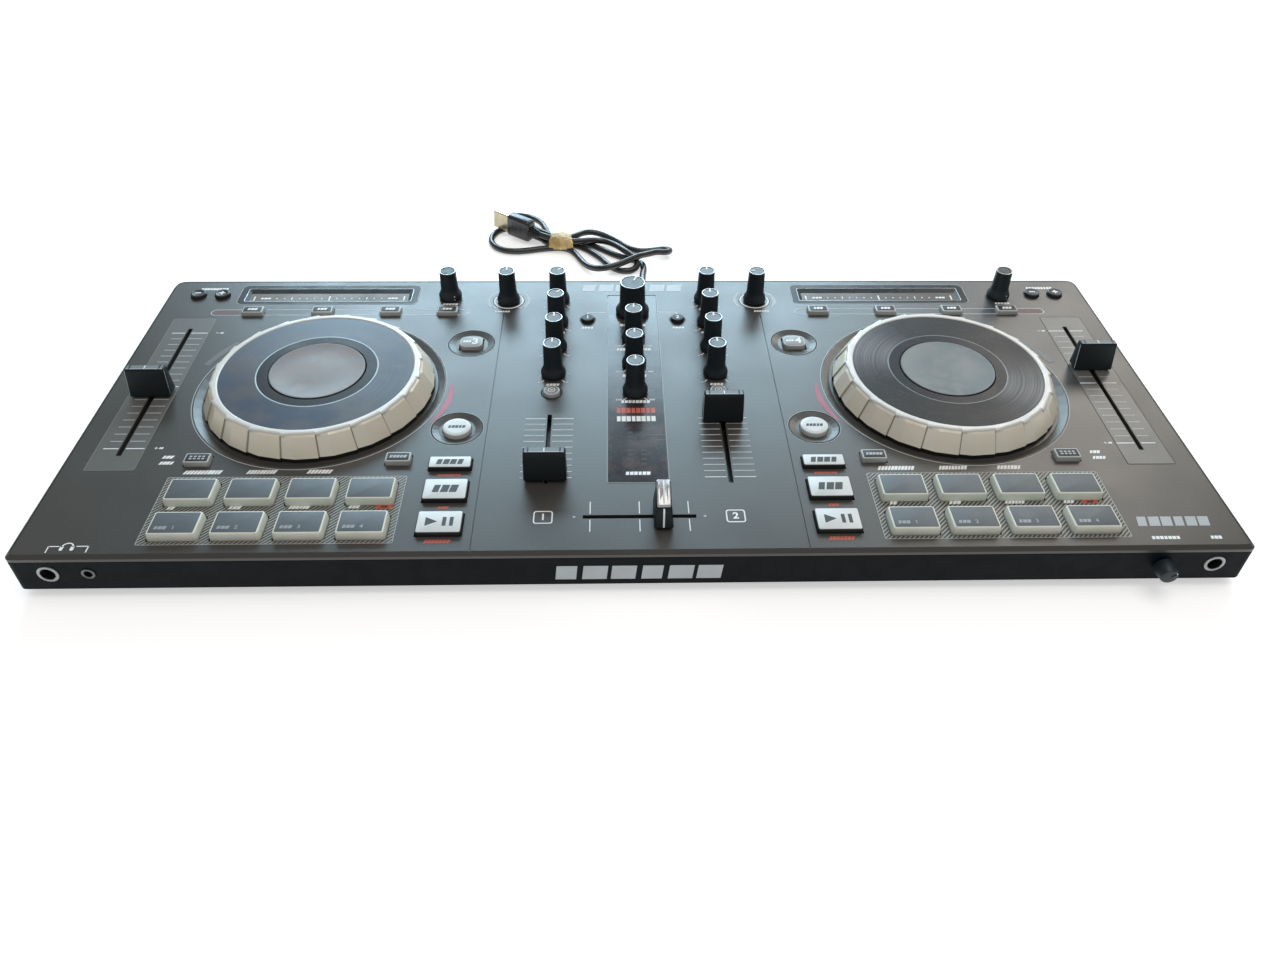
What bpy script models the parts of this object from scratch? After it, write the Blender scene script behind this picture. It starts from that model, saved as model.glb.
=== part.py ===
"""A two-deck DJ controller with its tied USB lead, as separate solids.

Frame: +X to the player's right, +Y away from the player, +Z up.  The origin is under the
middle of the case, on the surface that the feet stand on.  All lengths are in metres.
"""
import math

import bmesh
import bpy
from mathutils import Matrix, Vector

MM = 0.001
GAP = 0.3 * MM
ABOVE = 5 * MM
OVERCUT = 2 * MM

# ---- case ----
BODY_W = 545 * MM
BODY_D = 229.5 * MM
FOOT_H = 4 * MM
CASE_H = 21.2 * MM
PANEL_Z = FOOT_H + CASE_H
PLATE_T = 3.2 * MM
PLATE_BOTTOM = PANEL_Z - PLATE_T
PLATE_CHAMFER = 1.7 * MM
WALL_T = 2.5 * MM
REAR_CORNER_R = 6 * MM
FRONT_CORNER_R = 3 * MM
CORNER_STEPS = 4
BASE_BEVEL = 1.2 * MM
INNER_FRONT_R = 1 * MM
BOSS_X = (-245 * MM, -80 * MM, 80 * MM, 245 * MM)
BOSS_Y = (-90 * MM, 90 * MM)
BOSS_R = 3.5 * MM
SEAM_X = 74 * MM
SEAM_W = 0.5 * MM
SEAM_DEPTH = 0.5 * MM

# ---- circuit board and what is soldered to it ----
BOARD_BOTTOM = 13 * MM
BOARD_TOP = 14.6 * MM
BOARD_W = 524 * MM
BOARD_D = 206 * MM
BOARD_CORNER_R = 4 * MM
BURY = 0.8 * MM
POT_SIZE = 9.5 * MM
POT_TOP = 20 * MM
SOCKET_Z = 14.9 * MM
SOCKET_SET_BACK = 0.4 * MM
JACK_BLOCK = (15 * MM, 28 * MM, 12 * MM)
JACK_HOLE_R = 4.9 * MM
JACK_NOSE_R = 4.55 * MM
JACK_BORE_R = 3.2 * MM
JACK_BORE_L = 24 * MM
MINI_BLOCK = (8 * MM, 14 * MM, 7 * MM)
MINI_HOLE_R = 3.3 * MM
MINI_NOSE_R = 2.9 * MM
MINI_BORE_R = 1.8 * MM
MINI_BORE_L = 12 * MM
NOSE_OUT = 0.3 * MM
MIC_POT_BLOCK = (11 * MM, 11.7 * MM, 10.8 * MM)
MIC_SHAFT_HOLE_R = 2.6 * MM
USB_X = -40 * MM
USB_BLOCK = (12 * MM, 11 * MM)
USB_WINDOW = (12.8 * MM, 11.8 * MM)
USB_MOUTH = (8.6 * MM, 7.8 * MM)
USB_MOUTH_L = 10 * MM
REAR_BLOCK_D = 11 * MM
RCA_X = (-118 * MM, -102 * MM)
RCA_MARGIN = 7 * MM
RCA_BLOCK_H = 10 * MM
RCA_HOLE_R = 4.6 * MM
RCA_R = 4.15 * MM
RCA_BORE_R = 1.7 * MM
RCA_BORE_Y = 110 * MM
RCA_END_Y = 123 * MM
LOCK_X = -205 * MM
LOCK_SLOT = (7 * MM, 3 * MM)

# ---- decks ----
DECKS = (("left", -1), ("right", 1))
JOG_X = 162.6 * MM
JOG_Y = 5 * MM
JOG_TOP = 12.05 * MM
WELL_R = 63.2 * MM
WELL_FLOOR_R = 59.5 * MM
WELL_DEPTH = 1.2 * MM
HUB_HOLE_R = 22 * MM
HUB_OUTER_R = 21.5 * MM
HUB_INNER_R = 19 * MM
HUB_BOTTOM = 16 * MM
POST_R = 18.5 * MM
DISPLAY_R = 24.1 * MM
DISPLAY_T = 2.3 * MM
RIM_R = (49.2 * MM, 51.8 * MM)
RIM_BEVEL_R = 53 * MM
SKIRT_R = 58.1 * MM
SKIRT_DIP = 0.9 * MM
DISPLAY_HOLE_R = 24.6 * MM

# ---- faders ----
PITCH_X = 247.5 * MM
PITCH_SLOT_Y = (-48 * MM, 61.5 * MM)
PITCH_REST_Y = {"left": 1.5 * MM, "right": 22 * MM}
CHANNEL_X = 43.5 * MM
CHANNEL_SLOT_Y = (-70 * MM, -18 * MM)
CHANNEL_REST_Y = {"left": -65 * MM, "right": -21.5 * MM}
CROSS_Y = -92.5 * MM
CROSS_SLOT_X = (-25.6 * MM, 25.6 * MM)
CROSS_REST_X = 10.5 * MM
SLOT_W = 2.2 * MM
STEM_T = 1.2 * MM
STEM_BOTTOM = 20.6 * MM
FADER_BODY_W = 9 * MM
FADER_BODY_TOP = 20.2 * MM
SLOT_END_ROOM = 2 * MM
CAP_LIFT = 1 * MM
CAP_TOP = 16 * MM
CAP_FOOT_H = 1.2 * MM
CAP_EDGE = 0.5 * MM
CAP_BASE = (20.2 * MM, 8.8 * MM)
CAP_CROWN = (19.6 * MM, 4.6 * MM)
CAP_LEAN = 0.7 * MM
CAP_STEM_L = 4.4 * MM
CROSS_BASE = (8.7 * MM, 17.8 * MM)
CROSS_CROWN = (6.6 * MM, 11.4 * MM)
CROSS_LEAN = 1.6 * MM
CROSS_STEM_L = 4 * MM

# ---- knobs: name, x, y, kind ----
EQ_ROWS = (("level", 91 * MM), ("treble", 66.4 * MM), ("mid", 41.8 * MM), ("bass", 17.2 * MM))
EQ_X = 43.1 * MM
FILTER_POS = (72.2 * MM, 90.6 * MM)
BEATS_POS = (56 * MM, 94.8 * MM)
MASTER_ROWS = (("master_gain", 50.6 * MM), ("cue_mix", 26.1 * MM), ("cue_gain", 1.4 * MM))
BROWSE_Y = 78 * MM
KNOB_TOP = 20 * MM
BEATS_TOP = 17.7 * MM
KNOB_NECK_Z = 6.2 * MM
KNOB_SKIRT_Z = (0.4 * MM, 3 * MM)
KNOB_RADII = {"pot": (4.65 * MM, 4.95 * MM, 6.6 * MM), "browse": (7.05 * MM, 7.6 * MM, 9.95 * MM)}
KNOB_SHAFT_R = 3 * MM
KNOB_HOLE_R = 3.6 * MM
SHAFT_BOTTOM = POT_TOP + GAP
MIC_X = 233 * MM
MIC_KNOB_FRONT = -123 * MM
MIC_KNOB_R = (3.8 * MM, 4.2 * MM, 4.6 * MM)
MIC_KNOB_EDGE = 0.4 * MM
MIC_KNOB_OUT = 0.5 * MM
MIC_SHAFT_R = 2 * MM
MIC_JACK_X = 256.7 * MM
PHONES_X = -256.5 * MM
MINI_JACK_X = -239.3 * MM

# ---- buttons ----
BUTTON_CLEAR = 0.4 * MM
BUTTON_EDGE = 0.5 * MM
ROUND_EDGE = (0.3 * MM, 0.4 * MM)
FLANGE_EDGE = 0.9 * MM
FLANGE_TOP = PLATE_BOTTOM - GAP
FLANGE_T = 0.8 * MM
PLUNGER = 3 * MM
PLUNGER_BOTTOM = 19.2 * MM
TRANSPORT_X = 88.9 * MM
TRANSPORT = (("sync", -56.4 * MM, 8.2 * MM), ("cue", -75.3 * MM, 14 * MM),
             ("play", -97 * MM, 14 * MM))
TRANSPORT_W = 20.2 * MM
TRANSPORT_H = 2.3 * MM
TRANSPORT_CORNER_R = 1 * MM
LOW_BUTTON_H = 1.3 * MM
SHIFT_POS = (89 * MM, -28.7 * MM)
SHIFT_R = 7 * MM
DECK_BUTTON_POS = (89.5 * MM, 46.5 * MM)
DECK_BUTTON_SIZE = (12.6 * MM, 10.4 * MM)
DECK_BUTTON_CORNER_R = 3 * MM
DISH_R = 12.2 * MM
DISH_FLOOR_R = 9 * MM
DISH_DEPTH = 1 * MM
SMALL_KEY = (12 * MM, 7 * MM)
WHEEL_POS = (113.9 * MM, -52.7 * MM)
PAD_MODE_POS = (208.3 * MM, -52.7 * MM)
SMALL_KEY_H = 2.6 * MM
SMALL_KEY_CORNER_R = 0.7 * MM
LOAD_POS = (25.7 * MM, 70 * MM)
PFL_POS = (43.4 * MM, 0.5 * MM)
ROUND_KEY_R = 4.3 * MM
LOAD_KEY_R = 3.6 * MM
ROUND_KEY_H = 2 * MM
PITCH_BEND_X = (239.9 * MM, 253.8 * MM)
PITCH_BEND_Y = 96.9 * MM
FX_OFFSETS = (-54.6 * MM, -15.2 * MM, 23.6 * MM, 56.2 * MM)
FX_Y = 78.4 * MM
FX_KEY = (11.8 * MM, 7 * MM)
FX_H = 2.4 * MM
FX_CORNER_R = 0.8 * MM
PAD_X = (122.4 * MM, 149.5 * MM, 176.6 * MM, 203.7 * MM)
PAD_Y = (-76.2 * MM, -98.2 * MM)
PAD_SIZE = (21.8 * MM, 15 * MM)
PAD_H = 4 * MM
PAD_CORNER_R = 1 * MM
PAD_TAPER = 0.6 * MM
MAT_TOP = PLATE_BOTTOM - GAP
MAT_T = 1.2 * MM
MAT_MARGIN = 1.4 * MM
MAT_OVERLAP = 0.6 * MM

# ---- touch strip and meter window ----
STRIP_X = (-63.8 * MM, 33.5 * MM)
STRIP_Y = (90.1 * MM, 104.6 * MM)
STRIP_DEPTH = 1.2 * MM
WINDOW_W = 28.6 * MM
WINDOW_Y = (-69.5 * MM, 96.7 * MM)
WINDOW_DEPTH = 0.4 * MM

# ---- feet ----
FOOT_POS = (235 * MM, 92 * MM)
FOOT_R = 9 * MM
FOOT_EDGE = 1 * MM

# ---- USB lead ----
NECK = 4.6 * MM
HANK_OUTLINE = ((-50, 190), (-66, 187), (-83, 186), (-95, 193), (-98, 206), (-97, 226),
                (-90, 242), (-79, 249), (-68, 246), (-58, 233), (-48, 215), (-36, 213),
                (-24, 218), (-8, 211), (10, 201), (24, 199), (30, 191), (26, 181),
                (16, 172), (14.5, 160), (14, 148), (12.5, 138), (6, 130), (-3, 126.5),
                (-8, 127), (-8, 133), (-1, 135), (4.5, 141), (6, 151), (1, 159),
                (-12, 159), (-23, 160), (-32, 167), (-40, 181))
HANK_TOP = 13 * MM
PLUG_CORNER = 0.28
PLUG_A_END = Vector((-60.5, 203.5, 8.4)) * MM
PLUG_A_ANGLE = math.radians(149)
PLUG_A_PITCH = math.radians(5)
PLUG_A_STAGES = ((0, NECK, NECK), (5 * MM, 6.6 * MM, 6 * MM), (7 * MM, 14 * MM, 7.6 * MM),
                 (9 * MM, 15.4 * MM, 8.2 * MM), (24 * MM, 15.4 * MM, 8.2 * MM),
                 (25 * MM, 14.6 * MM, 7.6 * MM), (25 * MM, 12 * MM, 4.5 * MM),
                 (37 * MM, 12 * MM, 4.5 * MM))
PLUG_B_END = Vector((-9, 130, 5.7)) * MM
PLUG_B_ANGLE = math.radians(180)
PLUG_B_STAGES = ((0, NECK, NECK), (5 * MM, 6.8 * MM, 6.8 * MM), (8 * MM, 11 * MM, 9.8 * MM),
                 (10 * MM, 12 * MM, 10.8 * MM), (27 * MM, 12 * MM, 10.8 * MM),
                 (28 * MM, 11.4 * MM, 10.2 * MM), (28 * MM, 8.4 * MM, 7.8 * MM),
                 (37 * MM, 8.4 * MM, 7.8 * MM))
BED_WIDTHS = (9 * MM, 12.8 * MM)
BED_LENGTHS = (45 * MM, 37.6 * MM)
BED_HALF_H = 20 * MM


# ---------------------------------------------------------------- scene and materials
def clear_scene():
    for obj in list(bpy.data.objects):
        bpy.data.objects.remove(obj, do_unlink=True)


def collection(name):
    group = bpy.data.collections.new(name)
    bpy.context.scene.collection.children.link(group)
    return group


def material(name, colour, roughness, metallic=0.0):
    mat = bpy.data.materials.new(name)
    mat.use_nodes = True
    shader = mat.node_tree.nodes["Principled BSDF"]
    shader.inputs["Base Color"].default_value = (*colour, 1.0)
    shader.inputs["Roughness"].default_value = roughness
    shader.inputs["Metallic"].default_value = metallic
    return mat


clear_scene()
PARTS = collection("dj_controller")
CUTTERS = collection("cutters")


def place(name, mesh, group=None, mat=None, location=(0, 0, 0)):
    obj = bpy.data.objects.new(name, mesh)
    obj.location = location
    (group or PARTS).objects.link(obj)
    if group is CUTTERS:
        obj.hide_render = True
        obj.display_type = "WIRE"
    if mat:
        obj.data.materials.append(material(name, *mat))
    return obj


# ---------------------------------------------------------------- shape makers
def rounded_outline(width, depth, radius, rear_radius=None, steps=1):
    """Corner arcs of a rounded rectangle, counter-clockwise from the front right corner."""
    rear = radius if rear_radius is None else rear_radius
    points = []
    for quarter, (sx, sy, r) in enumerate(((1, -1, radius), (1, 1, rear),
                                           (-1, 1, rear), (-1, -1, radius))):
        start = -math.pi / 2 + quarter * math.pi / 2
        cx = sx * (width / 2 - r)
        cy = sy * (depth / 2 - r)
        for i in range(steps + 1):
            angle = start + i / steps * math.pi / 2
            points.append((cx + r * math.cos(angle), cy + r * math.sin(angle)))
    return points


def loft(sections):
    """A closed mesh through outlines of equal length: each section is (z, outline)."""
    bm = bmesh.new()
    rings = [[bm.verts.new((x, y, z)) for x, y in outline] for z, outline in sections]
    count = len(rings[0])
    for low, high in zip(rings, rings[1:]):
        for i in range(count):
            j = (i + 1) % count
            bm.faces.new((low[i], low[j], high[j], high[i]))
    bm.faces.new(list(reversed(rings[0])))
    bm.faces.new(rings[-1])
    bmesh.ops.recalc_face_normals(bm, faces=bm.faces)
    mesh = bpy.data.meshes.new("loft")
    bm.to_mesh(mesh)
    bm.free()
    return mesh


def boxes(spans):
    """One mesh of separate boxes, each given by its low and high corner."""
    bm = bmesh.new()
    for low, high in spans:
        size = Vector(high) - Vector(low)
        middle = (Vector(high) + Vector(low)) / 2
        matrix = Matrix.Translation(middle) @ Matrix.Diagonal((*size, 1.0))
        bmesh.ops.create_cube(bm, size=1.0, matrix=matrix)
    mesh = bpy.data.meshes.new("boxes")
    bm.to_mesh(mesh)
    bm.free()
    return mesh


def add_rod(bm, start, end, r1, r2=None, segments=16):
    """Adds a capped cylinder or cone from start to end."""
    axis = Vector(end) - Vector(start)
    turn = axis.to_track_quat("Z", "Y").to_matrix().to_4x4()
    matrix = Matrix.Translation((Vector(start) + Vector(end)) / 2) @ turn
    bmesh.ops.create_cone(bm, cap_ends=True, segments=segments, radius1=r1,
                          radius2=r1 if r2 is None else r2, depth=axis.length, matrix=matrix)


def rods(spans):
    """One mesh of separate rods: (start, end, radius, end radius, segments) each."""
    bm = bmesh.new()
    for start, end, r1, r2, segments in spans:
        add_rod(bm, start, end, r1, r2, segments)
    mesh = bpy.data.meshes.new("rods")
    bm.to_mesh(mesh)
    bm.free()
    return mesh


def turned(name, profile, location, mat, segments=16, closed=False):
    """A turned solid about its own Z: profile is (radius, height) down the outer side."""
    bm = bmesh.new()
    verts = [bm.verts.new((r, 0, z)) for r, z in profile]
    for a, b in zip(verts, verts[1:]):
        bm.edges.new((a, b))
    if closed:
        bm.edges.new((verts[-1], verts[0]))
    mesh = bpy.data.meshes.new(name)
    bm.to_mesh(mesh)
    bm.free()
    obj = place(name, mesh, mat=mat, location=location)
    screw = obj.modifiers.new("turn", "SCREW")
    screw.steps = segments
    screw.render_steps = segments
    screw.use_merge_vertices = True
    screw.merge_threshold = 0.00001
    screw.use_smooth_shade = True
    return obj


def boolean(obj, mesh, operation, name):
    tool = place(name, mesh, group=CUTTERS)
    modifier = obj.modifiers.new(name, "BOOLEAN")
    modifier.operation = operation
    modifier.object = tool
    modifier.solver = "EXACT"


# ---------------------------------------------------------------- case
def knob_places():
    """Every panel knob as (node, kind, x, y)."""
    found = []
    for side, sign in DECKS:
        for row, y in EQ_ROWS:
            found.append((f"{row}_knob_{side}", "pot", sign * EQ_X, y))
        found.append((f"filter_knob_{side}", "pot", sign * FILTER_POS[0], FILTER_POS[1]))
        beats_x = sign * JOG_X + BEATS_POS[0]
        found.append((f"beats_knob_{side}", "pot", beats_x, BEATS_POS[1]))
    for row, y in MASTER_ROWS:
        found.append((f"{row}_knob", "pot", 0.0, y))
    found.append(("browse_knob", "browse", 0.0, BROWSE_Y))
    return found


def round_key_places():
    """Round keys that press through the panel: (node, x, y, radius, height)."""
    found = []
    for side, sign in DECKS:
        found.append((f"shift_button_{side}", sign * SHIFT_POS[0], SHIFT_POS[1], SHIFT_R,
                      LOW_BUTTON_H))
        found.append((f"load_button_{side}", sign * LOAD_POS[0], LOAD_POS[1], LOAD_KEY_R,
                      ROUND_KEY_H))
        found.append((f"pfl_button_{side}", sign * PFL_POS[0], PFL_POS[1], ROUND_KEY_R,
                      ROUND_KEY_H))
    return found


def square_key_places():
    """Square keys: (node, x, y, width, depth, height, corner radius)."""
    found = []
    for side, sign in DECKS:
        for row, y, depth in TRANSPORT:
            found.append((f"{row}_button_{side}", sign * TRANSPORT_X, y, TRANSPORT_W, depth,
                          TRANSPORT_H, TRANSPORT_CORNER_R))
        found.append((f"deck_button_{side}", sign * DECK_BUTTON_POS[0], DECK_BUTTON_POS[1],
                      *DECK_BUTTON_SIZE, LOW_BUTTON_H, DECK_BUTTON_CORNER_R))
        found.append((f"wheel_button_{side}", sign * WHEEL_POS[0], WHEEL_POS[1], *SMALL_KEY,
                      SMALL_KEY_H, SMALL_KEY_CORNER_R))
        found.append((f"pad_mode_button_{side}", sign * PAD_MODE_POS[0], PAD_MODE_POS[1],
                      *SMALL_KEY, SMALL_KEY_H, SMALL_KEY_CORNER_R))
    return found


def around(x, y, width, depth, z0, z1):
    return ((x - width / 2, y - depth / 2, z0), (x + width / 2, y + depth / 2, z1))


def slots():
    """Every fader slot as (x0, x1, y0, y1)."""
    half = SLOT_W / 2
    found = []
    for _, sign in DECKS:
        x = sign * PITCH_X
        found.append((x - half, x + half, *PITCH_SLOT_Y))
        x = sign * CHANNEL_X
        found.append((x - half, x + half, *CHANNEL_SLOT_Y))
    found.append((*CROSS_SLOT_X, CROSS_Y - half, CROSS_Y + half))
    return found


def make_top_case():
    outline = [rounded_outline(BODY_W - 2 * inset, BODY_D - 2 * inset, FRONT_CORNER_R,
                               REAR_CORNER_R, CORNER_STEPS)
               for inset in (0, 0, PLATE_CHAMFER)]
    heights = (PLATE_BOTTOM, PANEL_Z - PLATE_CHAMFER, PANEL_Z)
    top = place("top_case", loft(list(zip(heights, outline))), mat=((0.07, 0.08, 0.09), 0.4))
    above = PANEL_Z + ABOVE
    below = PLATE_BOTTOM - OVERCUT
    shallow = []
    for _, sign in DECKS:
        shallow.append(((sign * JOG_X + STRIP_X[0], STRIP_Y[0], PANEL_Z - STRIP_DEPTH),
                        (sign * JOG_X + STRIP_X[1], STRIP_Y[1], above)))
        shallow.append(around(sign * SEAM_X, 0, SEAM_W, BODY_D + 2 * OVERCUT,
                              PANEL_Z - SEAM_DEPTH, above))
    shallow.append(((-WINDOW_W / 2, WINDOW_Y[0], PANEL_Z - WINDOW_DEPTH),
                    (WINDOW_W / 2, WINDOW_Y[1], above)))
    boolean(top, boxes(shallow), "DIFFERENCE", "cut_recesses")
    dishes = []
    for _, sign in DECKS:
        jog = Vector((sign * JOG_X, JOG_Y, 0))
        dishes.append((jog + Vector((0, 0, PANEL_Z - WELL_DEPTH)),
                       jog + Vector((0, 0, PANEL_Z + WELL_DEPTH)),
                       WELL_FLOOR_R, 2 * WELL_R - WELL_FLOOR_R, 48))
        for x, y in (SHIFT_POS, DECK_BUTTON_POS):
            spot = Vector((sign * x, y, 0))
            dishes.append((spot + Vector((0, 0, PANEL_Z - DISH_DEPTH)),
                           spot + Vector((0, 0, PANEL_Z + DISH_DEPTH)),
                           DISH_FLOOR_R, 2 * DISH_R - DISH_FLOOR_R, 24))
    boolean(top, rods(dishes), "DIFFERENCE", "cut_dishes")
    holes = []
    for _, kind, x, y in knob_places():
        holes.append(((x, y, below), (x, y, above), KNOB_HOLE_R, None, 8))
    for _, x, y, radius, _ in round_key_places():
        holes.append(((x, y, below), (x, y, above), radius + BUTTON_CLEAR, None, 16))
    for _, sign in DECKS:
        holes.append(((sign * JOG_X, JOG_Y, below), (sign * JOG_X, JOG_Y, above),
                      HUB_HOLE_R, None, 24))
        for x in PITCH_BEND_X:
            holes.append(((sign * x, PITCH_BEND_Y, below), (sign * x, PITCH_BEND_Y, above),
                          ROUND_KEY_R + BUTTON_CLEAR, None, 16))
    boolean(top, rods(holes), "DIFFERENCE", "cut_round_holes")
    windows = [((x0, y0, below), (x1, y1, above)) for x0, x1, y0, y1 in slots()]
    clear = 2 * BUTTON_CLEAR
    for _, x, y, width, depth, _, _ in square_key_places():
        windows.append(around(x, y, width + clear, depth + clear, below, above))
    for _, sign in DECKS:
        for offset in FX_OFFSETS:
            windows.append(around(sign * JOG_X + offset, FX_Y, FX_KEY[0] + clear,
                                  FX_KEY[1] + clear, below, above))
        for x in PAD_X:
            for y in PAD_Y:
                windows.append(around(sign * x, y, PAD_SIZE[0] + clear, PAD_SIZE[1] + clear,
                                      below, above))
    boolean(top, boxes(windows), "DIFFERENCE", "cut_windows")


def make_bottom_case():
    rim = PLATE_BOTTOM - GAP
    outer = [(z, rounded_outline(BODY_W - 2 * inset, BODY_D - 2 * inset, FRONT_CORNER_R,
                                 REAR_CORNER_R, CORNER_STEPS))
             for z, inset in ((FOOT_H, BASE_BEVEL), (FOOT_H + BASE_BEVEL, 0), (rim, 0))]
    tray = place("bottom_case", loft(outer), mat=((0.012, 0.013, 0.014), 0.5))
    inner = rounded_outline(BODY_W - 2 * WALL_T, BODY_D - 2 * WALL_T, INNER_FRONT_R,
                            REAR_CORNER_R - WALL_T, CORNER_STEPS)
    floor = FOOT_H + WALL_T
    boolean(tray, loft([(floor, inner), (PANEL_Z + ABOVE, inner)]), "DIFFERENCE",
            "cut_inside")
    bosses = []
    for x in BOSS_X:
        for y in BOSS_Y:
            bosses.append(((x, y, floor - 1 * MM), (x, y, BOARD_BOTTOM - GAP), BOSS_R,
                           None, 8))
    boolean(tray, rods(bosses), "UNION", "add_bosses")
    front = -BODY_D / 2
    through = ((0, front - ABOVE, 0), (0, front + WALL_T + 1 * MM, 0))
    holes = []
    for x, radius in ((PHONES_X, JACK_HOLE_R), (MINI_JACK_X, MINI_HOLE_R),
                      (MIC_JACK_X, JACK_HOLE_R), (MIC_X, MIC_SHAFT_HOLE_R)):
        centre = Vector((x, 0, SOCKET_Z))
        holes.append((Vector(through[0]) + centre, Vector(through[1]) + centre, radius,
                      None, 12))
    for x in RCA_X:
        holes.append(((x, -front - WALL_T - 1 * MM, SOCKET_Z), (x, -front + ABOVE, SOCKET_Z),
                      RCA_HOLE_R, None, 12))
    boolean(tray, rods(holes), "DIFFERENCE", "cut_front_and_rca_holes")
    rear = -front
    windows = []
    for x, (width, height) in ((USB_X, USB_WINDOW), (LOCK_X, LOCK_SLOT)):
        windows.append(((x - width / 2, rear - WALL_T - 1 * MM, SOCKET_Z - height / 2),
                        (x + width / 2, rear + ABOVE, SOCKET_Z + height / 2)))
    boolean(tray, boxes(windows), "DIFFERENCE", "cut_rear_windows")


def make_feet():
    for end, sy in (("front", -1), ("rear", 1)):
        for side, sx in DECKS:
            top = FOOT_H - GAP
            profile = ((0, top), (FOOT_R, top), (FOOT_R, FOOT_EDGE), (FOOT_R - FOOT_EDGE, 0),
                       (0, 0))
            turned(f"foot_{end}_{side}", profile, (sx * FOOT_POS[0], sy * FOOT_POS[1], 0),
                   ((0.03, 0.03, 0.03), 0.8), segments=16)


# ---------------------------------------------------------------- circuit board
def make_circuit_board():
    plate = rounded_outline(BOARD_W, BOARD_D, BOARD_CORNER_R)
    board = place("circuit_board", loft([(BOARD_BOTTOM, plate), (BOARD_TOP, plate)]),
                  mat=((0.02, 0.12, 0.06), 0.5))
    base = BOARD_TOP - BURY
    parts = [around(x, y, POT_SIZE, POT_SIZE, base, POT_TOP) for _, _, x, y in knob_places()]
    for x0, x1, y0, y1 in slots():
        pad = (FADER_BODY_W - SLOT_W) / 2
        along_x = pad if x1 - x0 < y1 - y0 else SLOT_END_ROOM
        along_y = pad if x1 - x0 > y1 - y0 else SLOT_END_ROOM
        parts.append(((x0 - along_x, y0 - along_y, base),
                      (x1 + along_x, y1 + along_y, FADER_BODY_TOP)))
    inside = -BODY_D / 2 + WALL_T + SOCKET_SET_BACK
    blocks = [(x, inside, JACK_BLOCK) for x in (PHONES_X, MIC_JACK_X)]
    blocks.append((MINI_JACK_X, inside, MINI_BLOCK))
    blocks.append((MIC_X, inside + GAP, MIC_POT_BLOCK))
    for x, y, (width, depth, height) in blocks:
        parts.append(((x - width / 2, y, SOCKET_Z - height / 2),
                      (x + width / 2, y + depth, SOCKET_Z + height / 2)))
    rear = BODY_D / 2
    parts.append(((USB_X - USB_BLOCK[0] / 2, -inside - REAR_BLOCK_D, SOCKET_Z - USB_BLOCK[1] / 2),
                  (USB_X + USB_BLOCK[0] / 2, rear - 0.2 * MM, SOCKET_Z + USB_BLOCK[1] / 2)))
    parts.append(((RCA_X[0] - RCA_MARGIN, -inside - REAR_BLOCK_D, SOCKET_Z - RCA_BLOCK_H / 2),
                  (RCA_X[1] + RCA_MARGIN, -inside, SOCKET_Z + RCA_BLOCK_H / 2)))
    boolean(board, boxes(parts), "UNION", "add_components")
    nose = -rear - NOSE_OUT
    sockets = [(x, JACK_NOSE_R, JACK_BORE_R, JACK_BORE_L, 12) for x in (PHONES_X, MIC_JACK_X)]
    sockets.append((MINI_JACK_X, MINI_NOSE_R, MINI_BORE_R, MINI_BORE_L, 8))
    noses = []
    bores = []
    for x, nose_r, bore_r, depth, segments in sockets:
        noses.append(((x, inside + 1 * MM, SOCKET_Z), (x, nose, SOCKET_Z), nose_r, None, 12))
        bores.append(((x, nose - OVERCUT, SOCKET_Z), (x, nose + depth, SOCKET_Z), bore_r, None,
                      segments))
    for x in RCA_X:
        noses.append(((x, -inside - 1 * MM, SOCKET_Z), (x, RCA_END_Y, SOCKET_Z), RCA_R, None, 12))
        bores.append(((x, RCA_END_Y + OVERCUT, SOCKET_Z), (x, RCA_BORE_Y, SOCKET_Z), RCA_BORE_R,
                      None, 8))
    boolean(board, rods(noses), "UNION", "add_socket_noses")
    boolean(board, rods(bores), "DIFFERENCE", "cut_socket_bores")
    width, height = USB_MOUTH
    mouth = boxes([((USB_X - width / 2, rear - USB_MOUTH_L, SOCKET_Z - height / 2),
                    (USB_X + width / 2, rear + ABOVE, SOCKET_Z + height / 2))])
    boolean(board, mouth, "DIFFERENCE", "cut_usb_mouth")


# ---------------------------------------------------------------- jog wheels
def make_jog(side, sign):
    place_at = (sign * JOG_X, JOG_Y, PANEL_Z)
    top = JOG_TOP
    hub = HUB_BOTTOM - PANEL_Z
    wheel = ((DISPLAY_HOLE_R, top - 0.4 * MM), (RIM_R[0] - GAP, top - 0.4 * MM),
             (RIM_R[0], top), (RIM_R[1], top), (RIM_BEVEL_R, top - 0.9 * MM),
             (SKIRT_R, 1 * MM), (SKIRT_R, -SKIRT_DIP), (SKIRT_R - 1.3 * MM, -SKIRT_DIP),
             (RIM_R[1] - 0.8 * MM, top - 3 * MM), (HUB_OUTER_R, top - 3.6 * MM),
             (HUB_OUTER_R, hub), (HUB_INNER_R, hub), (HUB_INNER_R, top - 2.6 * MM),
             (DISPLAY_HOLE_R, top - 2.6 * MM))
    turned(f"jog_wheel_{side}", wheel, place_at, ((0.62, 0.6, 0.55), 0.35, 0.6),
           segments=40, closed=True)
    post_bottom = BOARD_TOP + GAP - PANEL_Z
    under = top - DISPLAY_T
    display = ((0, top), (DISPLAY_R, top), (DISPLAY_R, under), (POST_R, under),
               (POST_R, post_bottom), (0, post_bottom))
    turned(f"jog_display_{side}", display, place_at, ((0.35, 0.34, 0.34), 0.15), segments=24)


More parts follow.
